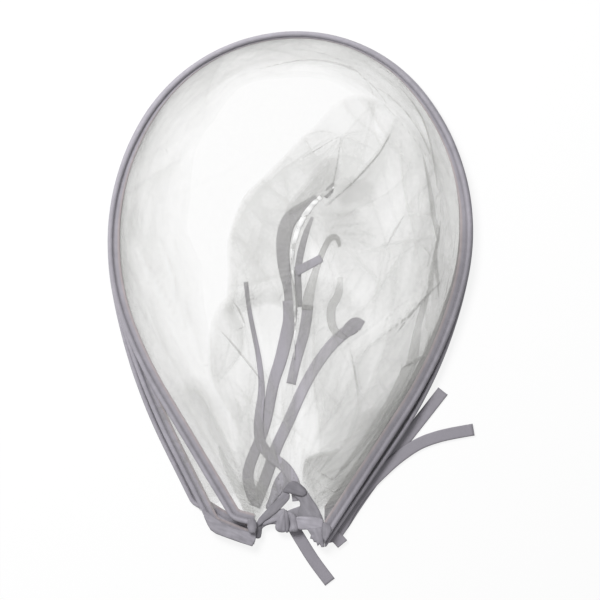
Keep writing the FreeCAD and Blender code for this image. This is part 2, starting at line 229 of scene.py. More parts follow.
def cloth_material(name, colour, edge_colour=None, threads=2600.0, slant=0.0, bump=0.00012,
                   mottle=0.16, sheen=0.15, weave_shade=0.10):
    """Woven cloth: thread weave, mottling and a darker or lighter tone from the map's edge value."""
    material = bpy.data.materials.new(name)
    material.use_nodes = True
    tree = material.node_tree
    link = tree.links.new
    shader = tree.nodes["Principled BSDF"]
    shader.inputs["Roughness"].default_value = 0.72
    shader.inputs["Sheen Weight"].default_value = sheen
    shader.inputs["Sheen Roughness"].default_value = 0.45
    shader.inputs["Specular IOR Level"].default_value = 0.25
    uv = tree.nodes.new("ShaderNodeUVMap")
    uv.uv_map = "along"
    place = tree.nodes.new("ShaderNodeTexCoord")
    weave = place_group(tree, WEAVE, Threads=threads, Slant=slant)
    link(uv.outputs["UV"], weave.inputs["Vector"])
    cloud = place_group(tree, MOTTLE, Scale=55.0, Amount=mottle)
    link(place.outputs["Object"], cloud.inputs["Vector"])
    streak = place_group(tree, MOTTLE, Scale=420.0, Amount=mottle * 0.8)
    link(place.outputs["Object"], streak.inputs["Vector"])
    thread = math_node(tree, "MULTIPLY_ADD", weave.outputs["Height"], weave_shade)
    thread.node.inputs[2].default_value = 1 - weave_shade / 2
    shade = math_node(tree, "MULTIPLY", cloud.outputs["Shade"], streak.outputs["Shade"])
    shade = math_node(tree, "MULTIPLY", shade, thread)
    # The per-vertex tone carries the painted light and shade set on each piece.
    tone = tree.nodes.new("ShaderNodeAttribute")
    tone.attribute_name = "tone"
    shade = math_node(tree, "MULTIPLY", shade, tone.outputs["Fac"])
    base = tinted(tree, colour, shade)
    if edge_colour:
        mix = tree.nodes.new("ShaderNodeMix")
        mix.data_type = "RGBA"
        edge = tree.nodes.new("ShaderNodeAttribute")
        edge.attribute_name = "edge"
        link(edge.outputs["Fac"], mix.inputs["Factor"])
        link(base, mix.inputs["A"])
        link(tinted(tree, edge_colour, shade), mix.inputs["B"])
        base = mix.outputs["Result"]
    link(base, shader.inputs["Base Color"])
    bumper = tree.nodes.new("ShaderNodeBump")
    bumper.inputs["Distance"].default_value = bump
    link(weave.outputs["Height"], bumper.inputs["Height"])
    link(bumper.outputs["Normal"], shader.inputs["Normal"])
    return material


def net_material(name, colour, holes=6200.0, grain=0.35):
    """Sheer net: its cover comes from the cloth's own folds, broken up by the mesh's holes."""
    material = bpy.data.materials.new(name)
    material.use_nodes = True
    material.surface_render_method = "DITHERED"
    tree = material.node_tree
    link = tree.links.new
    shader = tree.nodes["Principled BSDF"]
    shader.inputs["Roughness"].default_value = 0.6
    shader.inputs["Specular IOR Level"].default_value = 0.2
    place = tree.nodes.new("ShaderNodeTexCoord")
    mesh = place_group(tree, WEAVE, Threads=holes, Slant=0.55)
    link(place.outputs["Object"], mesh.inputs["Vector"])
    cloud = place_group(tree, MOTTLE, Scale=240.0, Amount=grain)
    link(place.outputs["Object"], cloud.inputs["Vector"])
    cover = tree.nodes.new("ShaderNodeAttribute")
    cover.attribute_name = "cover"
    open_share = math_node(tree, "MULTIPLY_ADD", mesh.outputs["Height"], 0.5)
    open_share.node.inputs[2].default_value = 0.75
    alpha = math_node(tree, "MULTIPLY", cover.outputs["Fac"], open_share)
    alpha = math_node(tree, "MULTIPLY", alpha, cloud.outputs["Shade"], clamp=True)
    link(alpha, shader.inputs["Alpha"])
    tint = place_group(tree, MOTTLE, Scale=30.0, Amount=0.06)
    link(place.outputs["Object"], tint.inputs["Vector"])
    link(tinted(tree, colour, tint.outputs["Shade"]), shader.inputs["Base Color"])
    bumper = tree.nodes.new("ShaderNodeBump")
    bumper.inputs["Distance"].default_value = 0.00015
    link(mesh.outputs["Height"], bumper.inputs["Height"])
    link(bumper.outputs["Normal"], shader.inputs["Normal"])
    return material


def hard_material(name, colour, metallic, roughness, scale):
    """Wire steel and moulded nylon, with fine drawing or moulding marks."""
    material = bpy.data.materials.new(name)
    material.use_nodes = True
    tree = material.node_tree
    shader = tree.nodes["Principled BSDF"]
    shader.inputs["Metallic"].default_value = metallic
    shader.inputs["Specular IOR Level"].default_value = 0.5
    place = tree.nodes.new("ShaderNodeTexCoord")
    marks = place_group(tree, MOTTLE, Scale=scale, Amount=0.3)
    tree.links.new(place.outputs["Object"], marks.inputs["Vector"])
    tree.links.new(tinted(tree, colour, marks.outputs["Shade"]), shader.inputs["Base Color"])
    rough = math_node(tree, "MULTIPLY", marks.outputs["Shade"], roughness)
    tree.links.new(rough, shader.inputs["Roughness"])
    return material


TAPE = cloth_material("bias_tape", (0.375, 0.36, 0.40), edge_colour=(0.44, 0.39, 0.40),
                      threads=4200.0, slant=1.0, weave_shade=0.08)
RIBBON = cloth_material("tie_ribbon", (0.315, 0.30, 0.335), threads=5200.0, weave_shade=0.08)
GATHERED = cloth_material("gathered_tape", (0.40, 0.39, 0.41), threads=4200.0, slant=1.0)
FRILL = cloth_material("frill_thread", (0.86, 0.86, 0.86), threads=3000.0, mottle=0.08)
THREAD = cloth_material("sewing_thread", (0.33, 0.31, 0.34), threads=9000.0, mottle=0.1)
NET = net_material("veil_net", (0.53, 0.53, 0.515))
STEEL = hard_material("spring_steel", (0.55, 0.55, 0.56), 1.0, 0.35, 900.0)
NYLON = hard_material("tip_nylon", (0.82, 0.82, 0.80), 0.0, 0.45, 300.0)


# ------------------------------------------------------------ mesh helpers

def make_object(name, verts, faces, material, uvs=None, values=None):
    """A mesh object from millimetre vertices, with a UV and named values per vertex."""
    mesh = bpy.data.meshes.new(name)
    mesh.from_pydata((np.asarray(verts, float) * MM).tolist(), [], [tuple(f) for f in faces])
    mesh.materials.append(material)
    loops = np.empty(len(mesh.loops), dtype=np.int32)
    mesh.loops.foreach_get("vertex_index", loops)
    layer = mesh.uv_layers.new(name="along")
    if uvs is None:
        uvs = np.asarray(verts, float)[:, :2] * MM
    layer.data.foreach_set("uv", np.asarray(uvs, dtype=np.float32)[loops].ravel())
    for key, data in (values or {}).items():
        attribute = mesh.attributes.new(key, "FLOAT", "POINT")
        attribute.data.foreach_set("value", np.asarray(data, dtype=np.float32))
    mesh.shade_smooth()
    mesh.update()
    obj = bpy.data.objects.new(name, mesh)
    COLLECTION.objects.link(obj)
    return obj


def grid_faces(rows, columns, closed=False):
    """Quads of vertices stored row by row; closed joins the last column to the first."""
    span = columns if closed else columns - 1
    i, j = np.meshgrid(np.arange(rows - 1), np.arange(span), indexing="ij")
    k = (j + 1) % columns
    quads = np.stack([i * columns + j, i * columns + k, (i + 1) * columns + k,
                      (i + 1) * columns + j], axis=-1)
    return quads.reshape(-1, 4)


def outward(obj):
    """Turns a closed shell's faces outwards."""
    bm = bmesh.new()
    bm.from_mesh(obj.data)
    bmesh.ops.recalc_face_normals(bm, faces=bm.faces)
    bm.to_mesh(obj.data)
    bm.free()
    return obj


def ripple(a, b, seed):
    """Smooth noise from about -1 to 1 for two arrays of coordinates."""
    flat = [noise.noise(Vector((x, y, seed))) for x, y in zip(np.ravel(a), np.ravel(b))]
    return np.array(flat).reshape(np.shape(a))


def smooth_line(points):
    """A NURBS line with the given points as its control points, as an array of places."""
    curve = bpy.data.curves.new("line", "CURVE")
    curve.dimensions = "3D"
    curve.resolution_u = 10
    spline = curve.splines.new("NURBS")
    spline.points.add(len(points) - 1)
    for point, place in zip(spline.points, points):
        point.co = (*place, 1.0) if len(place) == 3 else (*place, 0.0, 1.0)
    spline.order_u = 3
    spline.use_endpoint_u = True
    holder = bpy.data.objects.new("line", curve)
    COLLECTION.objects.link(holder)
    mesh = bpy.data.meshes.new_from_object(holder)
    line = np.array([v.co for v in mesh.vertices], float)
    bpy.data.objects.remove(holder)
    bpy.data.meshes.remove(mesh)
    bpy.data.curves.remove(curve)
    return line


def run_lengths(line):
    return np.concatenate([[0.0], np.cumsum(np.linalg.norm(np.diff(line, axis=0), axis=1))])


def line_frames(line):
    """Unit tangents and level side directions along a line."""
    tangent = np.gradient(line, axis=0)
    tangent /= np.linalg.norm(tangent, axis=1, keepdims=True)
    side = np.stack([-tangent[:, 1], tangent[:, 0], np.zeros(len(line))], axis=1)
    side /= np.linalg.norm(side, axis=1, keepdims=True)
    return tangent, side


def spread(keys, share):
    """Values spaced evenly from one end to the other, read at each share of the length."""
    keys = np.atleast_1d(np.asarray(keys, float))
    return np.interp(share, np.linspace(0, 1, len(keys)), keys)


def tape_strip(name, points, material, width, thickness=0.7, roll=0.0, gather=0.0,
               gather_pitch=3.0, cup=0.0, tone=1.0, seed=1.0, columns=9, buckle=0.12,
               cover=1.0):
    """Flat tape along a line: width, roll (degrees) and tone may change from end to end."""
    line = smooth_line(points)
    length = run_lengths(line)
    share = length / length[-1]
    tangent, side = line_frames(line)
    up = np.cross(tangent, side)
    across = np.linspace(-1, 1, columns)
    half = spread(width, share)[:, None] / 2
    rolls = np.radians(spread(roll, share))[:, None]
    offset = across[None, :] * half
    crease = ripple(length[:, None] / 9.0 + offset * 0.05, offset / 5.0, seed)
    pucker = gather * np.sin(2 * math.pi * length[:, None] / gather_pitch + 2.2 * crease)
    lift = pucker + buckle * crease + cup * (across[None, :] ** 2) * half
    edge = np.abs(across)[None, :] ** 6
    thick = thickness * (1 - 0.25 * edge) / 2

    def layer(sign):
        height = lift + sign * thick
        x = offset * np.cos(rolls) - height * np.sin(rolls)
        z = offset * np.sin(rolls) + height * np.cos(rolls)
        return line[:, None, :] + side[:, None, :] * x[..., None] + up[:, None, :] * z[..., None]

    top = layer(1)
    bottom = layer(-1)[:, ::-1]
    ring = np.concatenate([top, bottom], axis=1)
    rows, count = ring.shape[:2]
    verts = ring.reshape(-1, 3)
    faces = [tuple(f) for f in grid_faces(rows, count, closed=True)]
    for row in (0, rows - 1):
        for j in range(columns - 1):
            faces.append((row * count + j, row * count + j + 1,
                          row * count + count - 2 - j, row * count + count - 1 - j))
    along = np.repeat(length[:, None], count, axis=1)
    crosswise = np.concatenate([offset, offset[:, ::-1]], axis=1)
    uvs = np.stack([along, crosswise], axis=-1).reshape(-1, 2) * MM
    # Painted shade: darker towards the tape's long edges, lighter on the raised side of each pucker and
    # darker on the sunk side.
    shade = spread(tone, share)[:, None] * (1 - 0.10 * np.concatenate([edge, edge[:, ::-1]], axis=1))
    shade = shade * (1 + 0.5 * gather * np.concatenate([np.sign(pucker), np.sign(pucker[:, ::-1])], 1)
                     * 0.12)
    sheer = np.repeat(spread(cover, share), count)
    values = {"tone": np.broadcast_to(shade, (rows, count)).ravel(), "cover": sheer}
    return outward(make_object(name, verts, faces, material, uvs, values)), line


# ------------------------------------------------------------ cords: the loose tapes

RIBBON_WIDTH = 12.0
WIDE_RIBBON_WIDTH = 14.0
RIBBON_THICKNESS = 0.8
RIBBON_EXIT_X = 33.7     # side of the right corner tab
ROUTES = {
    "neck_tie_tail": [(-3.5, -226.5), (3.5, -239.5), (12, -253.5), (21.4, -268.8),
                      (31, -282), (39.5, -293)],
    "side_tie_upper": [(RIBBON_EXIT_X, -246.3), (43, -246.3), (51.5, -238), (61, -222.5),
                       (72.5, -205.5), (84.5, -189), (97.5, -171.5), (110.5, -155.5),
                       (123.5, -139), (138.5, -120), (152.5, -102)],
    "side_tie_lower": [(RIBBON_EXIT_X, -248), (43, -248), (51, -238.5), (58.5, -222.5),
                       (69.5, -206.5), (81.5, -192.5), (94.5, -180), (105, -170.5),
                       (117, -161.5), (130, -153.5), (147, -147.5), (165, -143.5),
                       (183, -140.5)],
    "side_tie_short": [(RIBBON_EXIT_X, -245), (40.3, -245), (46.6, -248.2), (52, -254.8)],
    "inner_tie_left": [(-44.5, 7), (-42.5, -14), (-37.5, -40), (-32.5, -63), (-29.5, -84),
                       (-28.5, -103), (-31, -121), (-32.5, -140), (-29.5, -156),
                       (-19.5, -168), (-6.5, -176), (2, -188), (6, -200), (7.5, -211.5)],
    "inner_tie_wide": [(-1, -11.5), (0.5, -28), (-4.5, -49), (-9.5, -71), (-17, -92),
                       (-20.5, -113), (-24, -131), (-30.5, -151), (-38.5, -169),
                       (-43, -184), (-41.5, -198), (-36.5, -210.5)],
    "inner_tie_short": [(17.5, -16), (15.5, -36), (10.5, -56), (4.5, -76), (0.5, -95)],
    "inner_tie_diagonal": [(60.5, -39), (48.5, -48), (36.5, -61), (24.5, -78), (14.5, -96),
                           (5.5, -115), (-3, -135), (-13.5, -156), (-20.5, -177),
                           (-28, -198), (-36, -217.5)],
}
# Widths and tones along the inner ties; the raised tones are painted light, with the paleness of the
# net that lies over them.
RIBBON_LOOK = {
    "inner_tie_left": dict(width=[4.5, 4.5, 5, 6, 9, 10.5, 11, 11], tone=[0.95, 1.35, 1.4]),
    "inner_tie_wide": dict(width=[14, 13, 11, 11, 11.5], tone=[1.25, 1.5]),
    "inner_tie_short": dict(width=[11, 11, 10, 9.5], tone=[1.4, 1.4]),
    "inner_tie_diagonal": dict(width=[12, 11, 11.5, 12],
                               tone=[1.7, 1.95, 1.8, 1.55, 1.35, 1.3, 1.35]),
}


def make_ribbons():
    for number, (name, route) in enumerate(ROUTES.items()):
        width = WIDE_RIBBON_WIDTH if name == "inner_tie_wide" else RIBBON_WIDTH
        middle = (node_low(name) + node_high(name)) / 2
        points = [(x, y, middle) for x, y in route]
        look = dict(width=width, tone=1.0)
        look.update(RIBBON_LOOK.get(name, {}))
        piece, line = tape_strip(name + "_cloth", points, RIBBON, thickness=RIBBON_THICKNESS,
                                 seed=3.0 + number, **look)
        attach(piece, ROOT)
        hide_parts(name)


# ------------------------------------------------------------ hoops

CROWN_X, CROWN_Y, PIVOT_Y = 7.0, 257.0, -257.0
STITCH_HEIGHT = 1.35     # above a casing's underside, on its hem
LEFT_END_X, RIGHT_END_X = -36.0, 34.0
CASING_WIDTH = 11.9
HEM_ROLL = 5.5
BULGE = 4.6
STATION = 2.2            # spacing of the sections along a hoop
STITCH_INSET = 5.7
HOOPS = {
    "rear": {"drop": 0.0,
             "left": ([(182.0, 63.1), (252.0, 36.6), (577.0, 16.7)], 58.0, (16.0, 32.0)),
             "right": ([(161.0, 49.4), (213.0, 59.3), (559.0, 16.5)], None, None)},
    "middle": {"drop": 0.0,
               "left": ([(181.7, 60.2), (239.4, 43.9), (703.0, 12.6)], 84.0, (18.0, 42.3)),
               "right": ([(162.0, 51.5), (222.5, 49.6), (449.0, 23.6)], None, None)},
    "front": {"drop": 1.0,
              "left": ([(178.6, 54.6), (233.2, 55.8), (430.0, 10.6)], 136.0, (18.0, 44.0)),
              "right": ([(158.0, 47.9), (219.0, 57.2), (437.0, 18.0)], None, None)},
}
FLANK_SHADE = 0.28       # baked in: tone taken off the right flank's tape, for shade
HOOP_BODY = {"rear": ROOT, "middle": MIDDLE, "front": FRONT}


def half_outline(hoop, side, inset, cornered=True):
    """Points down one half of a hoop and their inward directions; the same count at any inset."""
    arcs, flank, corner = HOOPS[hoop]["left" if side < 0 else "right"]
    place = np.array([CROWN_X, CROWN_Y - HOOPS[hoop]["drop"] - inset])
    heading = 0.0
    points, headings = [place], [0.0]
    turns = list(arcs)
    if corner and cornered:
        turns += [(None, flank), corner]

    def straight(start, length, steps):
        run = np.array([side * math.cos(heading), -math.sin(heading)]) * length
        for i in range(1, steps + 1):
            points.append(start + run * i / steps)
            headings.append(heading)

    for radius, amount in turns:
        start = points[-1]
        if radius is None:
            straight(start, amount, round(amount / STATION))
            continue
        r = radius - inset
        after = heading + math.radians(amount)
        steps = max(3, round(radius * (after - heading) / STATION))
        for t in np.linspace(heading, after, steps + 1)[1:]:
            points.append(start + np.array([side * r * (math.sin(t) - math.sin(heading)),
                                            -r * (math.cos(heading) - math.cos(t))]))
            headings.append(t)
        heading = after
    end_x = LEFT_END_X if side < 0 else RIGHT_END_X
    start = points[-1]
    steps = 40 if not cornered or side > 0 else 16
    straight(start, (end_x - start[0]) / (side * math.cos(heading)), steps)
    headings = np.array(headings)
    inward = np.stack([-side * np.sin(headings), -np.cos(headings)], axis=1)
    return np.array(points), inward


def hoop_outline(hoop, inset=0.0, cornered=True):
    """The whole outline from the right end over the crown to the left end."""
    right, right_in = half_outline(hoop, 1, inset, cornered)
    left, left_in = half_outline(hoop, -1, inset, cornered)
    return np.concatenate([right[::-1], left[1:]]), np.concatenate([right_in[::-1], left_in[1:]])


CHANNEL_SECTION = [(0.9, 0.0), (0.25, 0.5), (0.0, 1.5), (0.05, 2.6), (0.45, 3.6), (1.2, 4.3),
                   (2.2, 4.6), (3.2, 4.4), (4.0, 3.8), (4.5, 2.9), (4.8, 2.0), (5.2, 1.35)]
HEM_SECTION = [(0.12, 1.0), (0.3, 1.25), (0.55, 1.35), (0.78, 1.25), (0.93, 1.1), (1.0, 0.8),
               (1.0, 0.3), (0.9, 0.0), (0.4, 0.0)]


def make_casing(hoop, seed):
    """Sewn tape casing: a raised channel over the wire and a puckered hem."""
    base = node_low(hoop + "_hoop_casing")
    outline, inward = hoop_outline(hoop)
    length = run_lengths(outline)
    roll = np.clip(-inward[:, 1], 0, 1) * HEM_ROLL
    shaded = np.clip((outline[:, 0] - 20) / 60, 0, 1) * np.clip((80 - outline[:, 1]) / 60, 0, 1)
    flank = 1 - FLANK_SHADE * shaded
    columns, uvs, tones, edges = [], [], [], []
    hem_width = CASING_WIDTH - CHANNEL_SECTION[-1][0]
    for number, (n, z) in enumerate(CHANNEL_SECTION + [(None, h) for h in HEM_SECTION]):
        if n is None:
            share, z = HEM_SECTION[number - len(CHANNEL_SECTION)]
            n = CHANNEL_SECTION[-1][0] + share * hem_width
            pull = share * roll
        else:
            share, pull = 0.0, np.zeros_like(roll)
        line, facing = hoop_outline(hoop, n)
        pucker = ripple(length / 5.0, np.full_like(length, n / 6.0), seed)
        slow = ripple(length / 34.0, np.full_like(length, n / 9.0), seed + 7.0)
        lift = (0.16 * pucker + 0.12 * slow) * min(z, 1.0)
        if share:
            lift = lift + 0.22 * pucker * min(z, 1.0) * min(1, 3 * share)
        shove = 0.12 * slow if z > 0.5 else np.zeros_like(slow)
        place = line - facing * (pull + shove)[:, None]
        place[:, 1] = np.maximum(place[:, 1], PIVOT_Y)
        columns.append(np.column_stack([place, base + z + lift]))
        uvs.append(np.column_stack([length, np.full_like(length, n)]) * MM)
        # Painted shade: the tone is lighter where the puckers rise and darker where they sink, darker
        # at the seam's crease (seam) and along the low outer edge (rim), a little darker on the hem,
        # and darker on the right flank (FLANK_SHADE).
        crease = (1.0 + 0.10 * pucker + 0.06 * slow) * flank
        seam = 0.80 if number in (10, 11, 12) else 1.0
        rim = 0.86 if number < 3 else 1.0
        tones.append(crease * seam * rim * (0.93 if share else 1.0))
        edges.append(np.full_like(length, 1.0 if 0.7 <= share else 0.0))
    grid = np.stack(columns, axis=1)
    rows, count = grid.shape[:2]
    faces = [tuple(f) for f in grid_faces(rows, count, closed=True)]
    faces.append(tuple(range(count)))
    faces.append(tuple((rows - 1) * count + j for j in range(count)))
    piece = make_object(hoop + "_casing_cloth", grid.reshape(-1, 3), faces, TAPE,
                        np.stack(uvs, axis=1).reshape(-1, 2),
                        {"tone": np.stack(tones, axis=1).ravel(),
                         "edge": np.stack(edges, axis=1).ravel()})
    outward(piece)
    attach(piece, HOOP_BODY[hoop])
    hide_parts(hoop + "_hoop_casing")


# ------------------------------------------------------------ net

GUSSET_DEPTH = {         # how far each gusset is folded in, from the right end round to the left
    "rear": [34, 52, 72, 84, 66, 58, 42, 40, 52, 74, 84, 78, 66, 50, 34],
    "middle": [30, 40, 50, 58, 40, 34, 30, 26, 24, 22, 24, 40, 56, 44, 28],
}
GUSSET_END_Y = -224.0    # where the gussets run out; open below, when the hoops swing
GUSSET_WANDER = 5.0      # how far the folded edge strays
PLEATED_SHARE = 0.40     # the pleats lie in the right part of each gusset
LEAF_ROWS = 30
RIM_BUNCHING = 1.05      # extra net gathered into the hems
RIM_BUNCHING_DEPTH = 13.0
RIM_BUNCHING_AT = ([-230, -120, 60, 200], [1.5, 1.3, 0.9, 0.2])   # more of it near the neck
RIM_BUNCHING_ACROSS = ([-60, 20, 120], [1, 0.75, 0.5])   # the right flank came out too dark


def distance_to(points, line):
    """Signed distance of 2-D points to a line, the share along it, and its normal there."""
    start, step = line[:-1], np.diff(line, axis=0)
    size = np.maximum((step ** 2).sum(1), 1e-9)
    best = np.full(len(points), np.inf)
    signed = np.zeros(len(points))
    share = np.zeros(len(points))
    normal = np.zeros((len(points), 2))
    reach = np.concatenate([[0.0], np.cumsum(np.sqrt(size))])
    for i in range(len(step)):
        t = np.clip(((points - start[i]) @ step[i]) / size[i], 0, 1)
        gap = points - (start[i] + t[:, None] * step[i])
        far = np.hypot(gap[:, 0], gap[:, 1])
        nearer = far < best
        best[nearer] = far[nearer]
        turn = step[i][0] * gap[:, 1] - step[i][1] * gap[:, 0]
        signed[nearer] = (np.sign(turn) * far)[nearer]
        share[nearer] = ((reach[i] + t * math.sqrt(size[i])) / reach[-1])[nearer]
        unit = np.array([-step[i][1], step[i][0]]) / math.sqrt(size[i])
        normal[nearer] = unit
    return signed, share, normal


def fold_along(points, height, line, width, snap, mask, fade=7.0):
    """Pleats a sheet over a line: the cloth on the line's left is drawn back over it."""
    low, high = line.min(0) - fade * width - 4, line.max(0) + fade * width + 4
    near = np.all((points > low) & (points < high), axis=1)
    if not near.any():
        return
    here = points[near]
    signed, share, normal = distance_to(here, line)
    broad = width * np.sin(math.pi * np.clip(share, 0, 1)) ** 0.7 * mask[near]
    inside = (share > 0) & (share < 1)
    held = np.where(inside & (np.abs(signed) < snap), 0.0, signed)
    held = np.where(inside & (np.abs(signed - broad) < snap), broad, held)
    back = np.clip(held, 0, None)
    beyond = np.clip((held - broad) / (fade * width), 0, 1)
    drawn = -2 * np.minimum(back, broad) * (1 - beyond) ** 2
    points[near] = here + normal * (held - signed + drawn)[:, None]
    height[near] += np.where(held > 0, np.minimum(back / np.maximum(broad, 0.01), 2.0), 0) \
        * (1 - beyond) * (broad > 0.2)


def random_line(rng, centre, angle, length, bend):
    """A slightly bent line through a point."""
    direction = np.array([math.cos(angle), math.sin(angle)])
    side = np.array([-direction[1], direction[0]])
    sag = rng.uniform(-bend, bend) * length
    ends = [centre - direction * length / 2, centre + side * sag, centre + direction * length / 2]
    t = np.linspace(0, 1, 9)[:, None]
    return (1 - t) ** 2 * ends[0] + 2 * t * (1 - t) * ends[1] + t ** 2 * ends[2]


def triangle_areas(points, faces):
    a, b, c = (points[faces[:, i]] for i in range(3))
    return np.linalg.norm(np.cross(b - a, c - a), axis=1) / 2


def cover_of(verts, flat, faces, thin, most=1.25):
    """How much of the light a net stops at each vertex: more where it is steep or bunched."""
    level = verts.copy()
    level[:, 2] = 0
    rest = triangle_areas(np.column_stack([flat, np.zeros(len(flat))]), faces)
    seen = triangle_areas(level, faces)
    ratio = np.clip(rest / np.maximum(seen, 1e-3), 1.0, most)
    total = np.zeros(len(verts))
    count = np.zeros(len(verts))
    for i in range(3):
        np.add.at(total, faces[:, i], ratio)
        np.add.at(count, faces[:, i], 1)
    ratio = total / np.maximum(count, 1)
    return 1 - (1 - thin) ** ratio


def soften(outline, times=2):
    """A closed outline with its corners cut."""
    outline = np.asarray(outline, float)
    for _ in range(times):
        after = np.roll(outline, -1, axis=0)
        outline = np.stack([0.75 * outline + 0.25 * after, 0.25 * outline + 0.75 * after],
                           axis=1).reshape(-1, 2)
    return outline


def neck_streaks(points, seed):
    """Soft folds that run together at the neck, from about -1 to 1."""
    gap = points - np.array(GATHER_POINT)
    angle = np.arctan2(gap[:, 1], gap[:, 0])
    reach = np.hypot(gap[:, 0], gap[:, 1])
    stray = 0.10 * ripple(points[:, 0] / 75, points[:, 1] / 75, seed + 9.0)
    broad = ripple((angle + stray) * 13, reach / 130, seed)
    fine = ripple((angle + 1.4 * stray) * 34, reach / 80, seed + 4.0)
    thread = (1 - np.abs(ripple((angle + 2 * stray) * 11, reach / 60, seed + 6.0))) ** 14
    return 0.9 * broad + 0.8 * fine + 1.2 * thread


def rim_streaks(along, inset, seed):
    """Soft folds that run beside a hoop, from about -1 to 1."""
    stray = 9.0 * ripple(along / 90, inset / 60, seed + 9.0)
    broad = ripple(along / 120, (inset + stray) / 15, seed)
    fine = ripple(along / 70, (inset + 1.5 * stray) / 6.5, seed + 4.0)
    thread = (1 - np.abs(ripple(along / 60, (inset + stray) / 12, seed + 6.0))) ** 14
    return 0.9 * broad + 0.8 * fine + 1.2 * thread


def lay_between(height, low, high):
    span = height.max() - height.min()
    return low + (high - low) * (height - height.min()) / max(span, 1e-6)


def patch(outline, spacing):
    """Even points inside a closed outline, joined as triangles."""
    outline = np.asarray(outline, float)
    steps = []
    for a, b in zip(outline, np.roll(outline, -1, axis=0)):
        count = max(1, int(round(np.linalg.norm(b - a) / spacing)))
        steps += [a + (b - a) * i / count for i in range(count)]
    rim = np.array(steps)
    low, high = outline.min(0), outline.max(0)
    xs = np.arange(low[0], high[0], spacing)
    ys = np.arange(low[1], high[1], spacing * 0.866)
    gx, gy = np.meshgrid(xs, ys)
    gx = gx + (np.arange(len(ys)) % 2)[:, None] * spacing / 2
    grid = np.column_stack([gx.ravel(), gy.ravel()])
    inside = np.zeros(len(grid), bool)
    for a, b in zip(rim, np.roll(rim, -1, axis=0)):
        crosses = (a[1] > grid[:, 1]) != (b[1] > grid[:, 1])
        slope = (b[0] - a[0]) * (grid[:, 1] - a[1]) / ((b[1] - a[1]) or 1e-9) + a[0]
        inside ^= crosses & (grid[:, 0] < slope)
    signed, _, _ = distance_to(grid, np.concatenate([rim, rim[:1]]))
    grid = grid[inside & (np.abs(signed) > spacing * 0.55)]
    verts = [Vector(p) for p in np.concatenate([rim, grid])]
    edges = [(i, (i + 1) % len(rim)) for i in range(len(rim))]
    made = delaunay_2d_cdt(verts, edges, [list(range(len(rim)))], 1, 1e-4)
    return np.array([tuple(v) for v in made[0]]), np.array(made[2]), len(rim)


def net_piece(name, verts, faces, cover, body, nodes):
    piece = make_object(name, verts, faces, NET, None, {"cover": cover})
    piece.data.shade_flat()
    if body:
        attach(piece, body)
    if nodes:
        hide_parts(*nodes)
    return piece


def make_panel(name, node, hoop, body, thin, seed, creases):
    """Taut net panel across a hoop, with a few soft creases."""
    low, high = node_low(node), node_high(node)
    outline, inward = hoop_outline(hoop, CASING_WIDTH - 1.5)
    outline = outline - inward * (np.clip(-inward[:, 1], 0, 1) * (HEM_ROLL - 1))[:, None]
    flat, faces, _ = patch(outline[::4], 3.2)
    verts = np.column_stack([flat, np.zeros(len(flat))])
    points, height = verts[:, :2].copy(), verts[:, 2].copy()
    signed, _, _ = distance_to(points, outline)
    mask = np.clip(np.abs(signed) / 14.0, 0, 1)
    rng = random.Random(seed)
    for _ in range(creases):
        centre = np.array([rng.uniform(-150, 150), rng.uniform(-190, 220)])
        line = random_line(rng, centre, rng.uniform(0, math.pi), rng.uniform(60, 150), 0.12)
        fold_along(points, height, line, rng.uniform(0.5, 1.3), 1.0, mask)
    verts = np.column_stack([points, lay_between(height, low, high)])
    verts[:, 2] += 0.5 * mask * ripple(points[:, 0] / 60, points[:, 1] / 60, seed)
    cover = cover_of(verts, flat, faces, thin)
    net_piece(name, verts, faces, cover, body, [node])


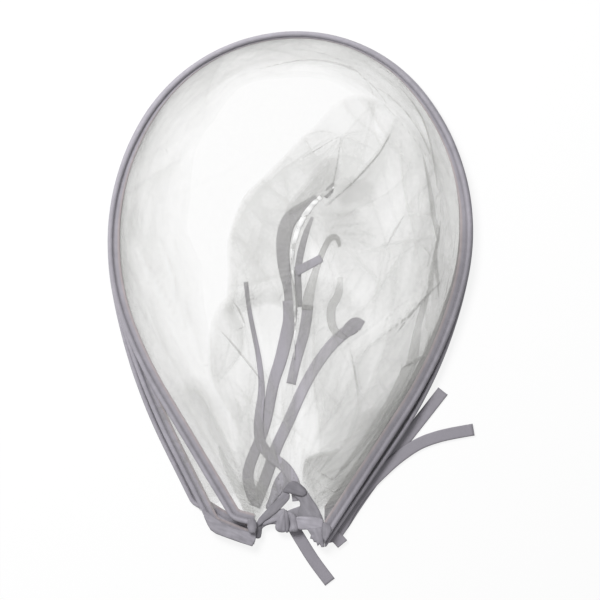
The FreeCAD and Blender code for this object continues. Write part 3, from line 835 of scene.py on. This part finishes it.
def make_gusset(name, node, hoop, upper, thin, seed, pleats, wrinkles=40):
    """Strip of net from one hoop to the next, folded inwards; it ends short of the neck."""
    low, high = node_low(node) - 0.2, node_high(node) + 0.2
    outline, inward = hoop_outline(hoop, BULGE, cornered=False)
    over, _ = hoop_outline(upper, BULGE, cornered=False)
    share = run_lengths(outline) / run_lengths(outline)[-1]
    over = spread_match(over, share)
    kept = (outline[:, 1] > GUSSET_END_Y) & (over[:, 1] > GUSSET_END_Y)
    outline, inward, over, share = (data[kept] for data in (outline, inward, over, share))
    rows = len(outline)
    draw = random.Random(seed)
    wander = [draw.uniform(-GUSSET_WANDER, GUSSET_WANDER) for _ in range(26)]
    depth = spread(GUSSET_DEPTH[hoop], share) + spread(wander, share)
    t = np.concatenate([np.linspace(0, 1, LEAF_ROWS), np.linspace(1, 0, LEAF_ROWS)[1:]])
    columns = len(t)
    rise = np.linspace(0, 1, columns)
    leaf = np.clip((rise - 0.5) * 2, 0, 1) * (1 - t)
    place = outline[:, None, :] + inward[:, None, :] * (depth[:, None] * t[None, :])[..., None]
    place = place + (over - outline)[:, None, :] * leaf[None, :, None]
    before = place.reshape(-1, 2)
    points = before.copy()
    height = np.zeros(len(points))
    everywhere = np.ones((rows, 1))
    mask = (everywhere * np.clip(t * 2.2, 0, 1)).ravel()
    for _ in range(pleats):
        first = draw.randrange(5, int(rows * PLEATED_SHARE))
        span = draw.randrange(30, 92)
        stations = np.linspace(first, first + span, 12).astype(int)
        inset = np.linspace(draw.uniform(0.12, 0.95), draw.uniform(0.12, 0.95), 12)
        inset = inset + draw.uniform(-0.2, 0.2) * np.sin(np.linspace(0, math.pi, 12))
        line = outline[stations] + inward[stations] * (depth[stations] * inset)[:, None]
        if draw.random() < 0.5:
            line = line[::-1]
        fold_along(points, height, line, draw.uniform(0.6, 1.8), 0.9, mask)
    soft = np.zeros(len(points))
    for _ in range(wrinkles):
        first = draw.randrange(2, rows - 80)
        stations = np.linspace(first, first + draw.randrange(25, 78), 9).astype(int)
        inset = np.linspace(draw.uniform(0.05, 0.95), draw.uniform(0.05, 0.95), 9)
        line = outline[stations] + inward[stations] * (depth[stations] * inset)[:, None]
        reach = draw.choice((-1, 1)) * draw.uniform(3, 12)
        soft += fold_shade(before, line, reach, draw.uniform(0.2, 0.8))
    level = low + (high - low) * (everywhere * rise).ravel()
    inset = (depth[:, None] * t[None, :]).ravel()
    along = (run_lengths(outline)[:, None] * np.ones(columns)).ravel()
    side = (everywhere * np.sign(rise - 0.5)).ravel()
    streaks = rim_streaks(along + 400 * side, inset, seed * 1.0)
    verts = np.column_stack([points, level + 0.04 * streaks * mask])
    quads = grid_faces(rows, columns)
    faces = np.concatenate([quads[:, [0, 1, 2]], quads[:, [0, 2, 3]]])
    bunched = RIM_BUNCHING * np.exp(-inset / RIM_BUNCHING_DEPTH)
    bunched = bunched * np.interp(points[:, 1], *RIM_BUNCHING_AT)
    bunched = bunched * np.interp(points[:, 0], *RIM_BUNCHING_ACROSS)
    fading = 1 - 0.85 * (everywhere * t ** 1.6).ravel()
    cloud = 0.35 * ripple(points[:, 0] / 38, points[:, 1] / 38, seed + 3.0)
    cover = cover_of(verts, before, faces, thin)
    cover = 1 - (1 - cover) ** np.clip(fading * (0.9 + bunched + cloud + 0.7 * streaks + soft), 0.1, 4)
    piece = net_piece(name, verts, faces, cover, None, [node])
    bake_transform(piece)


def spread_match(line, share):
    """Another outline read at the same shares of its length."""
    reach = run_lengths(line)
    reach = reach / reach[-1]
    return np.column_stack([np.interp(share, reach, line[:, 0]), np.interp(share, reach, line[:, 1])])


def fold_shade(points, line, reach, amount):
    """Extra cover of a fold: sharp at its edge, fading away over its reach to one side."""
    signed, share, _ = distance_to(points, np.asarray(line, float))
    behind = signed * math.copysign(1, reach)
    fade = np.where(behind > 0, np.exp(-np.abs(behind / reach)), np.exp(behind / 1.1))
    fade = fade + 0.7 * np.exp(-(signed / 1.1) ** 2)
    return amount * fade * np.sin(math.pi * np.clip(share, 0, 1)) ** 0.6


def stray_line(rng, low, high, wobble, shortest, longest, bend):
    """A random line that points roughly away from the neck, within a box."""
    centre = np.array([rng.uniform(low[0], high[0]), rng.uniform(low[1], high[1])])
    angle = math.atan2(centre[1] - GATHER_POINT[1], centre[0] - GATHER_POINT[0])
    angle += rng.gauss(0, wobble)
    return random_line(rng, centre, angle, rng.uniform(shortest, longest), bend)


def make_crumple(name, outline, low, high, thin, seed, folds, creases, spacing=1.6, nodes=(),
                 density=(), edges=(), streak=0.6, feather=0.0, wrinkles=0):
    """Loose net as one layer: listed pleats and shading, then random creases."""
    outline = soften(outline)
    flat, faces, _ = patch(outline, spacing)
    points = flat.copy()
    height = np.zeros(len(flat))
    signed, _, _ = distance_to(points, np.concatenate([outline, outline[:1]]))
    mask = np.clip(np.abs(signed) / 16.0, 0, 1)
    for line, width in folds:
        fold_along(points, height, smooth_line(line)[:, :2], width, 0.8, mask)
    rng = random.Random(seed)
    low_corner, high_corner = flat.min(0), flat.max(0)
    for _ in range(creases):
        line = stray_line(rng, low_corner, high_corner, 0.38, 30, 120, 0.14)
        fold_along(points, height, line, rng.uniform(0.8, 3.6), 0.8, mask)
    streaks = neck_streaks(flat, seed + 0.5)
    level = lay_between(height, low, high) + 0.6 * streaks
    verts = np.column_stack([points, level])
    cover = cover_of(verts, flat, faces, thin)
    edge = np.exp(-np.abs(signed) / 1.4)
    extra = 0.4 * edge + streak * streaks
    for line, reach, amount in edges:
        extra = extra + fold_shade(points, smooth_line(line)[:, :2], reach, amount)
    for _ in range(wrinkles):
        line = stray_line(rng, low_corner, high_corner, 0.5, 30, 130, 0.18)
        reach = rng.choice((-1, 1)) * rng.uniform(2, 11)
        extra = extra + fold_shade(points, line, reach, rng.uniform(0.2, 0.9))
    for x, y, radius, amount in density:
        extra = extra + amount * np.exp(-((points[:, 0] - x) ** 2 + (points[:, 1] - y) ** 2)
                                        / radius ** 2)
    cover = 1 - (1 - cover) * (1 - thin) ** np.clip(extra, -0.8, 8)
    if feather:
        cover = cover * np.clip(np.abs(signed) / feather, 0, 1) ** 0.8
    return net_piece(name, verts, faces, cover, ROOT, list(nodes))


GATHER_POINT = (-5, -235)   # the neck, where the collar's folds run together
COLLAR_UPPER = [
    (-68, -31), (-62, 9), (-65, 49), (-50, 92), (-28, 112), (-8, 132), (10, 152), (25, 164),
    (35, 177), (47, 189), (70, 197), (110, 179), (145, 139), (160, 89), (165, 19), (158, -41),
    (135, -101), (100, -151), (60, -201), (28, -224), (14, -215), (10, -160), (13, -100),
    (6, -50), (-10, -12), (-45, -23)]
COLLAR_LOWER = [
    (-52, 2), (-66, -8), (-78, -24), (-84, -56), (-84, -86), (-76, -101), (-64, -122),
    (-52, -142), (-60, -176), (-48, -206), (-36, -218), (-4, -202), (22, -204), (52, -170),
    (74, -120), (84, -60), (70, 0), (20, 20), (-20, 0)]
UPPER_FOLDS = [          # line of each pleat and how far it is drawn over
    ([(-64, 40), (-50, 92), (-28, 112), (-8, 132), (10, 152), (25, 164), (36, 178)], 6.0),
    ([(50, 153), (30, 140), (8, 128)], 1.2),
    ([(38, 90), (46, 120), (50, 153)], 1.5),
    ([(34, 82), (54, 99), (74, 119), (95, 144), (107, 172)], 1.5),
    ([(148, -10), (142, 24), (140, 90), (131, 137)], 5.0),
    ([(40, -190), (72, -140), (112, -70), (136, 0), (150, 70)], 7.0),
    ([(44, -205), (76, -160), (110, -100), (140, -40)], 5.0),
    ([(84, -53), (124, -18), (140, 9)], 1.5),
]
UPPER_EDGES = [          # line of each fold, how far it fades (its side by the sign), amount
    ([(-66, 30), (-65, 49), (-50, 92), (-28, 112), (-8, 132), (10, 152), (35, 177)], -9, 0.9),
    ([(-60, 44), (-47, 80), (-25, 104), (-7, 119), (14, 134), (34, 149), (50, 153)], -12, 1.0),
    ([(50, 153), (39, 157), (26, 158), (8, 150)], 5, 0.8),
    ([(50, 153), (60, 156), (72, 158)], -5, 0.8),
    ([(50, 153), (41, 141), (28, 130), (10, 122)], 7, 0.8),
    ([(50, 153), (52, 139), (54, 124), (50, 104)], 8, 0.8),
    ([(50, 153), (66, 148), (84, 139)], -6, 0.7),
    ([(109, 178), (99, 159), (94, 144), (74, 119), (54, 99), (30, 78)], 12, 1.6),
    ([(76, 190), (84, 170), (98, 150), (100, 140)], 5, 1.2),
    ([(84, 186), (80, 165), (90, 142), (96, 134)], -5, 0.9),
    ([(110, 150), (110, 129), (114, 92), (124, 54), (128, 20)], 9, 1.2),
    ([(128, 150), (132, 137), (140, 90), (142, 49), (144, 20)], -9, 1.0),
    ([(146, 128), (152, 90), (154, 40), (146, -20)], -6, 1.0),
    ([(70, 36), (80, 39), (110, 48), (147, 52)], -5, 1.2),
    ([(60, -30), (74, -21), (94, 9), (114, 39), (120, 60)], -11, 1.0),
    ([(64, -70), (84, -53), (124, -18), (140, 9), (146, 30)], -12, 1.1),
    ([(156, 10), (150, 9), (134, -41), (114, -81), (84, -116), (60, -146), (44, -181)], 10, 0.7),
    ([(160, -16), (144, -54), (120, -96), (90, -131), (60, -181), (38, -218)], -14, 1.0),
    ([(100, 20), (104, -20), (96, -60), (80, -100)], 9, 0.8),
    ([(56, -40), (56, -51), (64, -78), (68, -104), (66, -126), (52, -160)], 9, 1.2),
    ([(30, 0), (36, -28), (44, -48), (60, -80)], 6, 0.7),
    ([(23, 30), (23, -61), (24, -106), (30, -131), (30, -170)], 7, 1.3),
    ([(8, -190), (12, -174), (22, -166), (40, -163), (52, -160)], -6, 2.2),
    ([(-36, 66), (-40, 40), (-52, 20)], 6, 0.8),
    ([(-22, 78), (-30, 56), (-34, 34), (-50, 14)], 7, 0.9),
    ([(-60, 4), (-48, 2), (-12, 14), (-2, 14)], 5, 1.2),
    ([(62, 60), (74, 58), (86, 50)], 4, 0.9),
    ([(56, 52), (70, 48), (84, 40)], 4, 0.9),
]
UPPER_DENSITY = [        # place, reach and amount of the thicker and thinner stretches
    (8, 66, 34, 1.0), (40, 110, 34, 0.8), (64, 84, 36, 0.8), (-40, 60, 34, 0.6),
    (-30, 80, 26, -0.3), (60, 172, 22, -0.4), (88, 168, 17, -1.4), (100, 60, 40, -0.2),
    (60, 40, 26, 0.6), (24, 34, 14, -0.8), (80, -20, 34, -0.4), (120, -60, 40, -0.1),
    (70, -150, 40, 0.6), (50, -200, 30, 2.2), (146, 20, 20, 0.2), (22, 12, 18, -0.8),
    (18, -140, 16, -1.2), (22, -158, 12, -1.2)]
LOWER_DENSITY = [(-30, -60, 26, -0.7), (40, -40, 30, -0.3), (-10, -80, 24, -0.5),
                 (20, -120, 20, -0.8), (18, -150, 16, -0.8), (56, -130, 30, 0.6),
                 (-50, -190, 20, 1.2)]
LOWER_FOLDS = [
    ([(60, -60), (70, -100), (66, -150), (48, -186)], 3.0),
]
LOWER_EDGES = [
    ([(-66, -6), (-76, -14), (-80, -34), (-80, -61), (-79, -86), (-73, -101), (-61, -121),
      (-48, -141)], 7, 2.0),
    ([(-74, -8), (-68, -12), (-55, -24), (-47, -41), (-49, -64), (-60, -78), (-74, -94)], -9, 2.0),
    ([(-42, -6), (-38, -28), (-35, -56), (-33, -78), (-37, -108), (-50, -131), (-58, -142)],
     -12, 1.0),
    ([(-98, -54), (-85, -86), (-68, -118), (-55, -138), (-38, -146)], -12, 1.2),
    ([(-62, -100), (-54, -110), (-48, -126), (-52, -160)], -7, 0.8),
    ([(3, 9), (3, -40), (2, -86), (3, -131), (4, -176)], -5, 1.2),
    ([(-9, -90), (-9, -110), (-4, -140), (3, -160)], 5, 1.0),
    ([(-40, -146), (-20, -160), (-8, -176), (0, -196)], 7, 0.8),
]
LOOSE_NET = {            # further folds of the collar: outline, cover, lowest, highest, soft rim
    "band_net_left_cloth": (
        [(-8, 74), (-3, 86), (9, 100), (21, 118), (34, 132), (45, 134), (51, 124), (50, 110),
         (40, 98), (27, 88), (14, 81), (0, 73)], 0.24, 5.0, 6.0, 4.0),
    "band_net_right_cloth": (
        [(44, 106), (54, 114), (70, 111), (86, 108), (88, 89), (80, 80), (67, 83), (54, 80),
         (44, 84)], 0.20, 5.2, 6.4, 6.0),
    "ruffle_net_cloth": (
        [(2, 72), (16, 84), (30, 80), (52, 82), (68, 84), (84, 60), (84, 44), (70, 36),
         (50, 44), (32, 40), (14, 52)], 0.10, 4.4, 5.6, 5.0),
    "corner_seam_net_cloth": (
        [(-74, -155), (-69, -156), (-63, -169), (-54, -184), (-47, -196), (-39, -212),
         (-34, -224), (-35, -234), (-40, -238), (-47, -222), (-54, -208), (-62, -191),
         (-70, -171)], 0.50, 8.6, 9.4, 2.0),
    "corner_fold_net_cloth": (
        [(-39, -188), (-24, -194), (-20, -208), (-27, -222), (-36, -237), (-47, -224),
         (-54, -202), (-49, -188)], 0.36, 6.8, 8.2, 2.0),
    "low_left_net_cloth": (
        [(-124, -100), (-92, -150), (-68, -190), (-56, -214), (-44, -232), (-32, -236),
         (-20, -226), (-6, -205), (-10, -160), (-30, -126), (-60, -104), (-95, -80)],
        0.24, 5.0, 7.0, 16.0),
    "low_right_net_cloth": (
        [(12, -206), (10, -172), (22, -163), (52, -160), (64, -120), (104, -116), (92, -146),
         (68, -184), (50, -212), (42, -240), (29, -233)], 0.20, 5.0, 7.5, 3.0),
}
LOOSE_EDGES = {
    "low_left_net_cloth": [
        ([(-120, -90), (-96, -130), (-76, -164), (-54, -204), (-40, -232)], -16, 2.4),
        ([(-104, -80), (-80, -124), (-60, -160), (-44, -200)], -12, 1.2),
        ([(-20, -140), (-30, -170), (-34, -204), (-36, -230)], 9, 1.0)],
    "low_right_net_cloth": [
        ([(104, -116), (88, -150), (64, -188), (38, -232)], -14, 2.4),
        ([(22, -208), (40, -200), (50, -190), (58, -176)], -14, 2.0),
        ([(11, -200), (12, -180), (22, -167), (48, -163)], -4, 3.0),
        ([(16, -196), (18, -182), (28, -172), (50, -168)], -3, 1.6),
        ([(28, -222), (24, -200), (18, -180)], -3, 1.2)],
    "ruffle_net_cloth": [
        ([(34, 66), (52, 72), (76, 80)], 3, 2.2), ([(34, 62), (54, 62), (80, 66)], 3, 2.0),
        ([(34, 58), (52, 54), (78, 54)], 3, 2.0), ([(32, 52), (48, 46), (68, 40)], 3, 1.6),
        ([(24, 76), (40, 72), (62, 76)], 3, 1.6)],
    "band_net_left_cloth": [
        ([(-6, 76), (8, 90), (26, 112), (44, 128)], -10, 1.2),
        ([(2, 76), (20, 92), (36, 110), (48, 122)], -6, 1.0)],
}


def make_nets():
    make_panel("back_net_cloth", "back_net", "rear", ROOT, 0.03, 5, 14)
    make_panel("face_net_cloth", "face_net", "front", FRONT, 0.06, 11, 16)
    make_gusset("rear_gusset_cloth", "rear_gusset_net", "rear", "middle",
                0.11, 21, 12)
    make_gusset("front_gusset_cloth", "front_gusset_net", "middle", "front",
                0.12, 57, 12)
    base = node_low("collar_net")
    make_crumple("collar_cloth", COLLAR_UPPER, base - 0.3, base + 3.4, 0.19, 3, UPPER_FOLDS, 8,
                 nodes=["collar_net"], density=UPPER_DENSITY, edges=UPPER_EDGES, feather=5.0,
                 wrinkles=70)
    make_crumple("collar_skirt_cloth", COLLAR_LOWER, base - 0.4, base + 1.6, 0.17, 8,
                 LOWER_FOLDS, 3, density=LOWER_DENSITY, edges=LOWER_EDGES, feather=9.0, wrinkles=34)
    for number, (name, (outline, cover, low, high, rim)) in enumerate(LOOSE_NET.items()):
        make_crumple(name, outline, low, high, cover, 20 + number, [], 0, spacing=1.7,
                     edges=LOOSE_EDGES.get(name, ()), streak=0.35, feather=rim)


# ------------------------------------------------------------ gathered band and neck

SHEER_TAPES = {"loop_tape_cloth": [0.5, 0.4, 0.35, 0.4, 0.6, 0.6],
               "faint_tape_cloth": [0.1, 0.28, 0.32, 0.32, 0.3]}


def make_gathered_band():
    # Each run: name, points with heights, material, widths, gather, gather pitch and tone; a tone that
    # changes along a run is painted light and shade.
    runs = [
        ("gathered_band_cloth", [(26, 92, 2.4), (12, 80, 2.4), (0, 72, 2.2), (-6, 58, 2.0),
                                 (-8, 38, 2.0), (-6, 18, 1.8), (0, -2, 1.6), (0, -16, 1.6)],
         GATHERED, [6, 12, 15, 15, 13, 12, 12, 12], 0.6, 2.6, [1.7, 1.3, 1.1, 1.0, 0.95]),
        ("gathered_side_cloth", [(22, 72, 3.0), (16, 58, 3.0), (12, 44, 2.8),
                                 (8, 26, 2.6), (6.5, 4, 2.4), (9, -18, 2.2)],
         GATHERED, [3, 6, 7, 7, 8, 6], 0.45, 2.4, [1.5, 1.0, 0.85, 0.9]),
        ("gathered_frill_cloth", [(46, 104, 4.8), (36, 96, 5.0), (23, 86, 5.0), (11.5, 70, 5.0),
                                  (4.5, 52, 4.8), (1.5, 30, 4.6), (2.5, 8, 4.4), (4, -14, 4.0),
                                  (5, -40, 3.6), (3.5, -70, 3.4)],
         FRILL, [1.5, 4, 5.5, 4.5, 4, 3.5, 3, 2, 1.4, 0.8], 0.9, 2.0, 1.0),
        ("cross_band_cloth", [(5.5, 17.5, 3.6), (17, 23, 3.8), (31, 31, 3.6)],
         TAPE, [9.5, 8.5, 8], 0.1, 6.0, [0.95, 1.15]),
        ("band_fold_cloth", [(35, 91, 4.2), (38, 96, 4.4), (43, 106, 4.2)],
         TAPE, [3, 8, 2], 0.1, 6.0, [0.75, 1.2]),
        ("loop_tape_cloth", [(16.5, -21, 2.8), (17, -13, 2.8), (21, 5, 2.9), (27, 24, 3.0),
                             (34, 42, 3.2), (40, 52, 3.2), (48, 52, 3.0), (49, 42, 2.8)],
         NET, [11, 11, 9, 7, 6, 6, 6, 3], 0.15, 5.0, 1.0),
        ("faint_tape_cloth", [(50, 12, 2.6), (49, -6, 2.6), (41, -16, 2.4), (40, -30, 2.4),
                              (44, -44, 2.2), (56, -48, 2.0)],
         NET, [5, 8, 9, 9, 8, 6], 0.1, 7.0, 1.0),
        ("tie_end_cloth", [(54, -46, 3.2), (60, -39, 3.4), (67, -34, 3.4), (72, -37, 3.2)],
         RIBBON, [8, 14, 15, 10], 0.1, 6.0, [1.35, 1.25, 1.5]),
    ]
    for number, (name, points, material, width, gather, pitch, tone) in enumerate(runs):
        piece, _ = tape_strip(name, points, material, width, thickness=0.6, gather=gather,
                              gather_pitch=pitch, tone=tone, seed=40.0 + number,
                              cover=SHEER_TAPES.get(name, 1.0))
        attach(piece, ROOT)
        if number == 0:
            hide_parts("drawstring_channel")


def make_flap(name, outline, rise, body, tone, seed, rounds=1, thickness=1.0, relief=0.35):
    """A flat fold of tape with a given outline, sloping from one height to another."""
    outline = soften(outline, rounds)
    flat, faces, rim = patch(outline, 1.1)
    signed, _, _ = distance_to(flat, np.concatenate([outline, outline[:1]]))
    inside = np.abs(signed)
    soft = 1 - np.exp(-inside / (0.6 + 0.2 * thickness))
    gap = flat - flat.mean(0)
    along, across = (gap @ np.linalg.svd(gap, full_matrices=False)[2].T).T
    creases = ripple(flat[:, 0] / 6.5, flat[:, 1] / 6.5, seed)
    fine = ripple(along / 11.0, across / 1.9, seed + 5.0)
    low, high = outline[:, 0].min(), outline[:, 0].max()
    height = np.interp(flat[:, 0], np.linspace(low, high, len(rise)), rise)
    level = height + relief * (creases + 0.6 * fine)
    half = thickness / 2 * (0.35 + 0.65 * soft)
    verts = np.concatenate([np.column_stack([flat, level + half]),
                            np.column_stack([flat, level - half])])
    count = len(flat)
    shell = [tuple(f) for f in faces] + [tuple(f[::-1] + count) for f in faces]
    shell += [(i, (i + 1) % rim, (i + 1) % rim + count, i + count) for i in range(rim)]
    # Painted shade: darker within about a millimetre of the edge, lighter where the creases rise and
    # darker where they sink; the flap's tone is painted light and shade as well.
    shade = tone * (1 - 0.22 * np.exp(-inside / 0.7)) * (1 + 0.14 * creases + 0.20 * fine)
    piece = make_object(name, verts, shell, TAPE, None, {"tone": np.tile(shade, 2)})
    outward(piece)
    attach(piece, body)
    return piece


# name, node it stands for, body, heights from left to right, thickness, tone (painted light and shade),
# corners cut, outline
FLAPS = [
    ("left_lobe_cloth", None, MIDDLE, [10.0, 10.3, 10.3], 1.0, 0.92, 0,
     [(-87, -219), (-80, -224), (-73, -229), (-66, -233.5), (-58, -237.5), (-50, -239.8),
      (-42, -241.2), (-34.5, -241.4), (-34.2, -247), (-35.2, -251.5), (-38, -256.2),
      (-46, -253.8), (-56, -250.4), (-66, -246.8), (-74, -243.8), (-79.5, -240),
      (-83, -234), (-86, -227)]),
    ("left_end_cloth", None, FRONT, [15.0, 15.0, 12.5], 1.0, 0.8, 0,
     [(-42, -228.2), (-36, -228.4), (-34, -231), (-33.4, -237), (-34.6, -242.6),
      (-41, -242.4), (-43, -236)]),
    ("left_tab_cloth", "left_corner_tab", ROOT, [6.5, 5.5], 5.0, 0.62, 1,
     [(-35.6, -236), (-33, -231), (-28, -236), (-29, -246.5), (-30.8, -249), (-35.6, -248.5)]),
    ("binding_left_cloth", "neck_binding", ROOT, [8.4, 9.4], 1.2, 0.74, 1,
     [(-35.6, -241.5), (-33.5, -230.5), (-25, -221), (-14, -210), (-6, -199.5), (-2, -201),
      (0, -207.5), (-4, -213), (-12, -221), (-20.5, -228), (-27, -232.5), (-32, -237)]),
    ("binding_rise_cloth", None, ROOT, [5.0, 3.0], 1.0, 1.05, 1,
     [(-26, -219), (-21, -208), (-18.5, -197), (-14, -187), (-6, -178), (2, -178),
      (4, -190), (-4, -199), (-14, -209.5), (-20.5, -220)]),
    # Painted shade: this loop's low tone stands for its shaded underside.
    ("binding_loop_cloth", None, ROOT, [9.8, 10.8, 9.6], 1.4, 0.60, 1,
     [(-8, -202), (-5, -196.5), (-1, -192.5), (3.5, -190.5), (8, -193), (12, -196.5),
      (15.5, -200), (16.5, -204), (13, -206.8), (7, -205.6), (1, -204), (-4, -203)]),
    ("binding_right_cloth", None, ROOT, [8.8, 8.0], 1.2, 0.76, 1,
     [(2, -191), (13, -195.5), (20.5, -207.5), (26.5, -216), (31, -225), (33.6, -232),
      (33.6, -240), (25, -240), (18, -231), (9.5, -227.5), (6.5, -224.3), (9.5, -217),
      (9.5, -211.5), (4, -206.5), (0, -202.5)]),
    ("binding_inner_cloth", None, ROOT, [5.4], 1.0, 0.95, 0,
     [(-6, -222.5), (2, -219.2), (9.5, -216.5), (11, -224.5), (6, -228), (-5, -226)]),
    ("tie_left_cloth", "neck_tie_left", ROOT, [5.4, 7.0], 2.4, 0.72, 1,
     [(-35.4, -241), (-30, -232), (-20.5, -229.5), (-11, -226), (-9, -232), (-12, -235),
      (-19, -234.3), (-26, -236.5), (-30, -241.5), (-33, -244)]),
    ("tie_left_turn_cloth", None, ROOT, [7.4, 8.4], 1.2, 0.96, 1,
     [(-29, -233), (-20, -225), (-11, -219), (-5, -218.5), (-4.5, -226), (-12, -231),
      (-20, -234), (-27, -236)]),
    ("tie_right_cloth", "neck_tie_right", ROOT, [8.6, 9.6], 2.6, 1.06, 1,
     [(4.5, -226), (18, -226.5), (32, -228), (33.6, -234), (33.6, -241.5), (29.5, -243.3),
      (22.8, -241.3), (17.8, -239.5), (6.5, -240), (5, -232.7)]),
    ("knot_left_cloth", "neck_tie_knot", ROOT, [7.0, 7.8], 6.0, 0.84, 1,
     [(-14.5, -232), (-12.2, -227), (-7, -221), (-4.8, -222), (-4.6, -231), (-4, -241.5),
      (-7, -242.8), (-12.4, -242.2), (-15.5, -239)]),
    ("knot_middle_cloth", None, ROOT, [7.4], 7.6, 0.72, 1,
     [(-6.8, -221), (-4, -219.8), (-1.2, -224), (-0.6, -234), (-1.2, -242.4), (-5.2, -243),
      (-5.8, -233)]),
    ("knot_right_cloth", None, ROOT, [7.6], 8.8, 0.9, 1,
     [(-4, -222.5), (1, -221.5), (5.4, -225.5), (7.6, -234), (8.4, -241.5), (2, -242.2),
      (-1.8, -242), (0, -234), (-1.6, -227.5)]),
    ("right_tab_cloth", "right_corner_tab", ROOT, [9.0, 9.6], 7.0, 0.86, 0,
     [(16.5, -239), (24, -237.6), (30, -236.5), (33.6, -235.6), (33.6, -256.9), (30.8, -257),
      (29, -254), (27, -256), (25.8, -252.3), (23.2, -251.8), (22, -249), (19.4, -248.5),
      (20.4, -245)]),
    ("right_end_cloth", None, FRONT, [13.6, 15.0, 15.0], 1.0, 0.76, 0,
     [(31.5, -233), (34.5, -231.5), (40, -236), (41, -240), (38.5, -246), (34.8, -252),
      (32, -247), (31, -240)]),
]


def make_neck():
    for number, (name, node, body, rise, thick, tone, rounds, outline) in enumerate(FLAPS):
        piece = make_flap(name, outline, rise, body, tone, 70.0 + 3 * number, rounds, thick)
        if node:
            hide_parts(node)


# ------------------------------------------------------------ stitches

STITCH_PITCH = 3.1
STITCH_LENGTH = 2.0
STITCH_THICKNESS = 0.34


def stitch_tree():
    """Geometry nodes that lay one stitch after another along a curve."""
    tree = bpy.data.node_groups.new("lay_stitches", "GeometryNodeTree")
    face = tree.interface
    face.new_socket("Geometry", in_out="INPUT", socket_type="NodeSocketGeometry")
    for name in ("Pitch", "Length", "Thickness"):
        face.new_socket(name, in_out="INPUT", socket_type="NodeSocketFloat")
    face.new_socket("Thread", in_out="INPUT", socket_type="NodeSocketMaterial")
    face.new_socket("Geometry", in_out="OUTPUT", socket_type="NodeSocketGeometry")
    node = tree.nodes.new
    link = tree.links.new
    given, result = node("NodeGroupInput"), node("NodeGroupOutput")
    split = node("GeometryNodeCurveToPoints")
    split.mode = "LENGTH"
    link(given.outputs["Geometry"], split.inputs["Curve"])
    link(given.outputs["Pitch"], split.inputs["Length"])
    thread = node("GeometryNodeMeshUVSphere")
    thread.inputs["Segments"].default_value = 6
    thread.inputs["Rings"].default_value = 5
    thread.inputs["Radius"].default_value = 0.5
    size = node("ShaderNodeCombineXYZ")
    link(given.outputs["Thickness"], size.inputs["X"])
    link(given.outputs["Thickness"], size.inputs["Y"])
    link(given.outputs["Length"], size.inputs["Z"])
    place = node("GeometryNodeInstanceOnPoints")
    link(split.outputs["Points"], place.inputs["Points"])
    link(thread.outputs["Mesh"], place.inputs["Instance"])
    link(split.outputs["Rotation"], place.inputs["Rotation"])
    link(size.outputs[0], place.inputs["Scale"])
    real = node("GeometryNodeRealizeInstances")
    link(place.outputs["Instances"], real.inputs["Geometry"])
    paint = node("GeometryNodeSetMaterial")
    link(real.outputs["Geometry"], paint.inputs["Geometry"])
    link(given.outputs["Thread"], paint.inputs["Material"])
    link(paint.outputs["Geometry"], result.inputs["Geometry"])
    return tree


def make_stitches():
    tree = stitch_tree()
    sockets = {item.name: item.identifier for item in tree.interface.items_tree
               if item.in_out == "INPUT"}
    for hoop, body in HOOP_BODY.items():
        base = node_low(hoop + "_hoop_casing")
        line, _ = hoop_outline(hoop, STITCH_INSET)
        curve = bpy.data.curves.new(hoop + "_seam", "CURVE")
        curve.dimensions = "3D"
        spline = curve.splines.new("POLY")
        spline.points.add(len(line) - 3)
        for point, (x, y) in zip(spline.points, line[1:-1]):
            point.co = (x * MM, max(y, PIVOT_Y) * MM, (base + STITCH_HEIGHT) * MM, 1)
        holder = bpy.data.objects.new(hoop + "_seam", curve)
        COLLECTION.objects.link(holder)
        modifier = holder.modifiers.new("stitches", "NODES")
        modifier.node_group = tree
        modifier[sockets["Pitch"]] = STITCH_PITCH * MM
        modifier[sockets["Length"]] = STITCH_LENGTH * MM
        modifier[sockets["Thickness"]] = STITCH_THICKNESS * MM
        modifier[sockets["Thread"]] = THREAD
        bpy.context.view_layer.update()
        graph = bpy.context.evaluated_depsgraph_get()
        mesh = bpy.data.meshes.new_from_object(holder.evaluated_get(graph))
        bpy.data.objects.remove(holder)
        tone = mesh.attributes.new("tone", "FLOAT", "POINT")
        tone.data.foreach_set("value", np.ones(len(mesh.vertices), dtype=np.float32))
        if "along" not in mesh.uv_layers:
            mesh.uv_layers.new(name="along")
        piece = bpy.data.objects.new(hoop + "_hem_stitches", mesh)
        COLLECTION.objects.link(piece)
        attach(piece, body)


def paint_hidden_parts():
    for hoop in HOOPS:
        for node, material in ((hoop + "_hoop_wire", STEEL), (hoop + "_wire_tips", NYLON)):
            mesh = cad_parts[node].data
            mesh.materials.clear()
            mesh.materials.append(material)


# ------------------------------------------------------------ build

bpy.context.scene.view_settings.view_transform = "Standard"
bpy.context.scene.cycles.transparent_max_bounces = 40
make_camera()
make_light()
make_floor()
make_ribbons()
for seed, hoop in enumerate(HOOPS):
    make_casing(hoop, 2.0 + 5.0 * seed)
make_nets()
make_gathered_band()
make_neck()
make_stitches()
paint_hidden_parts()
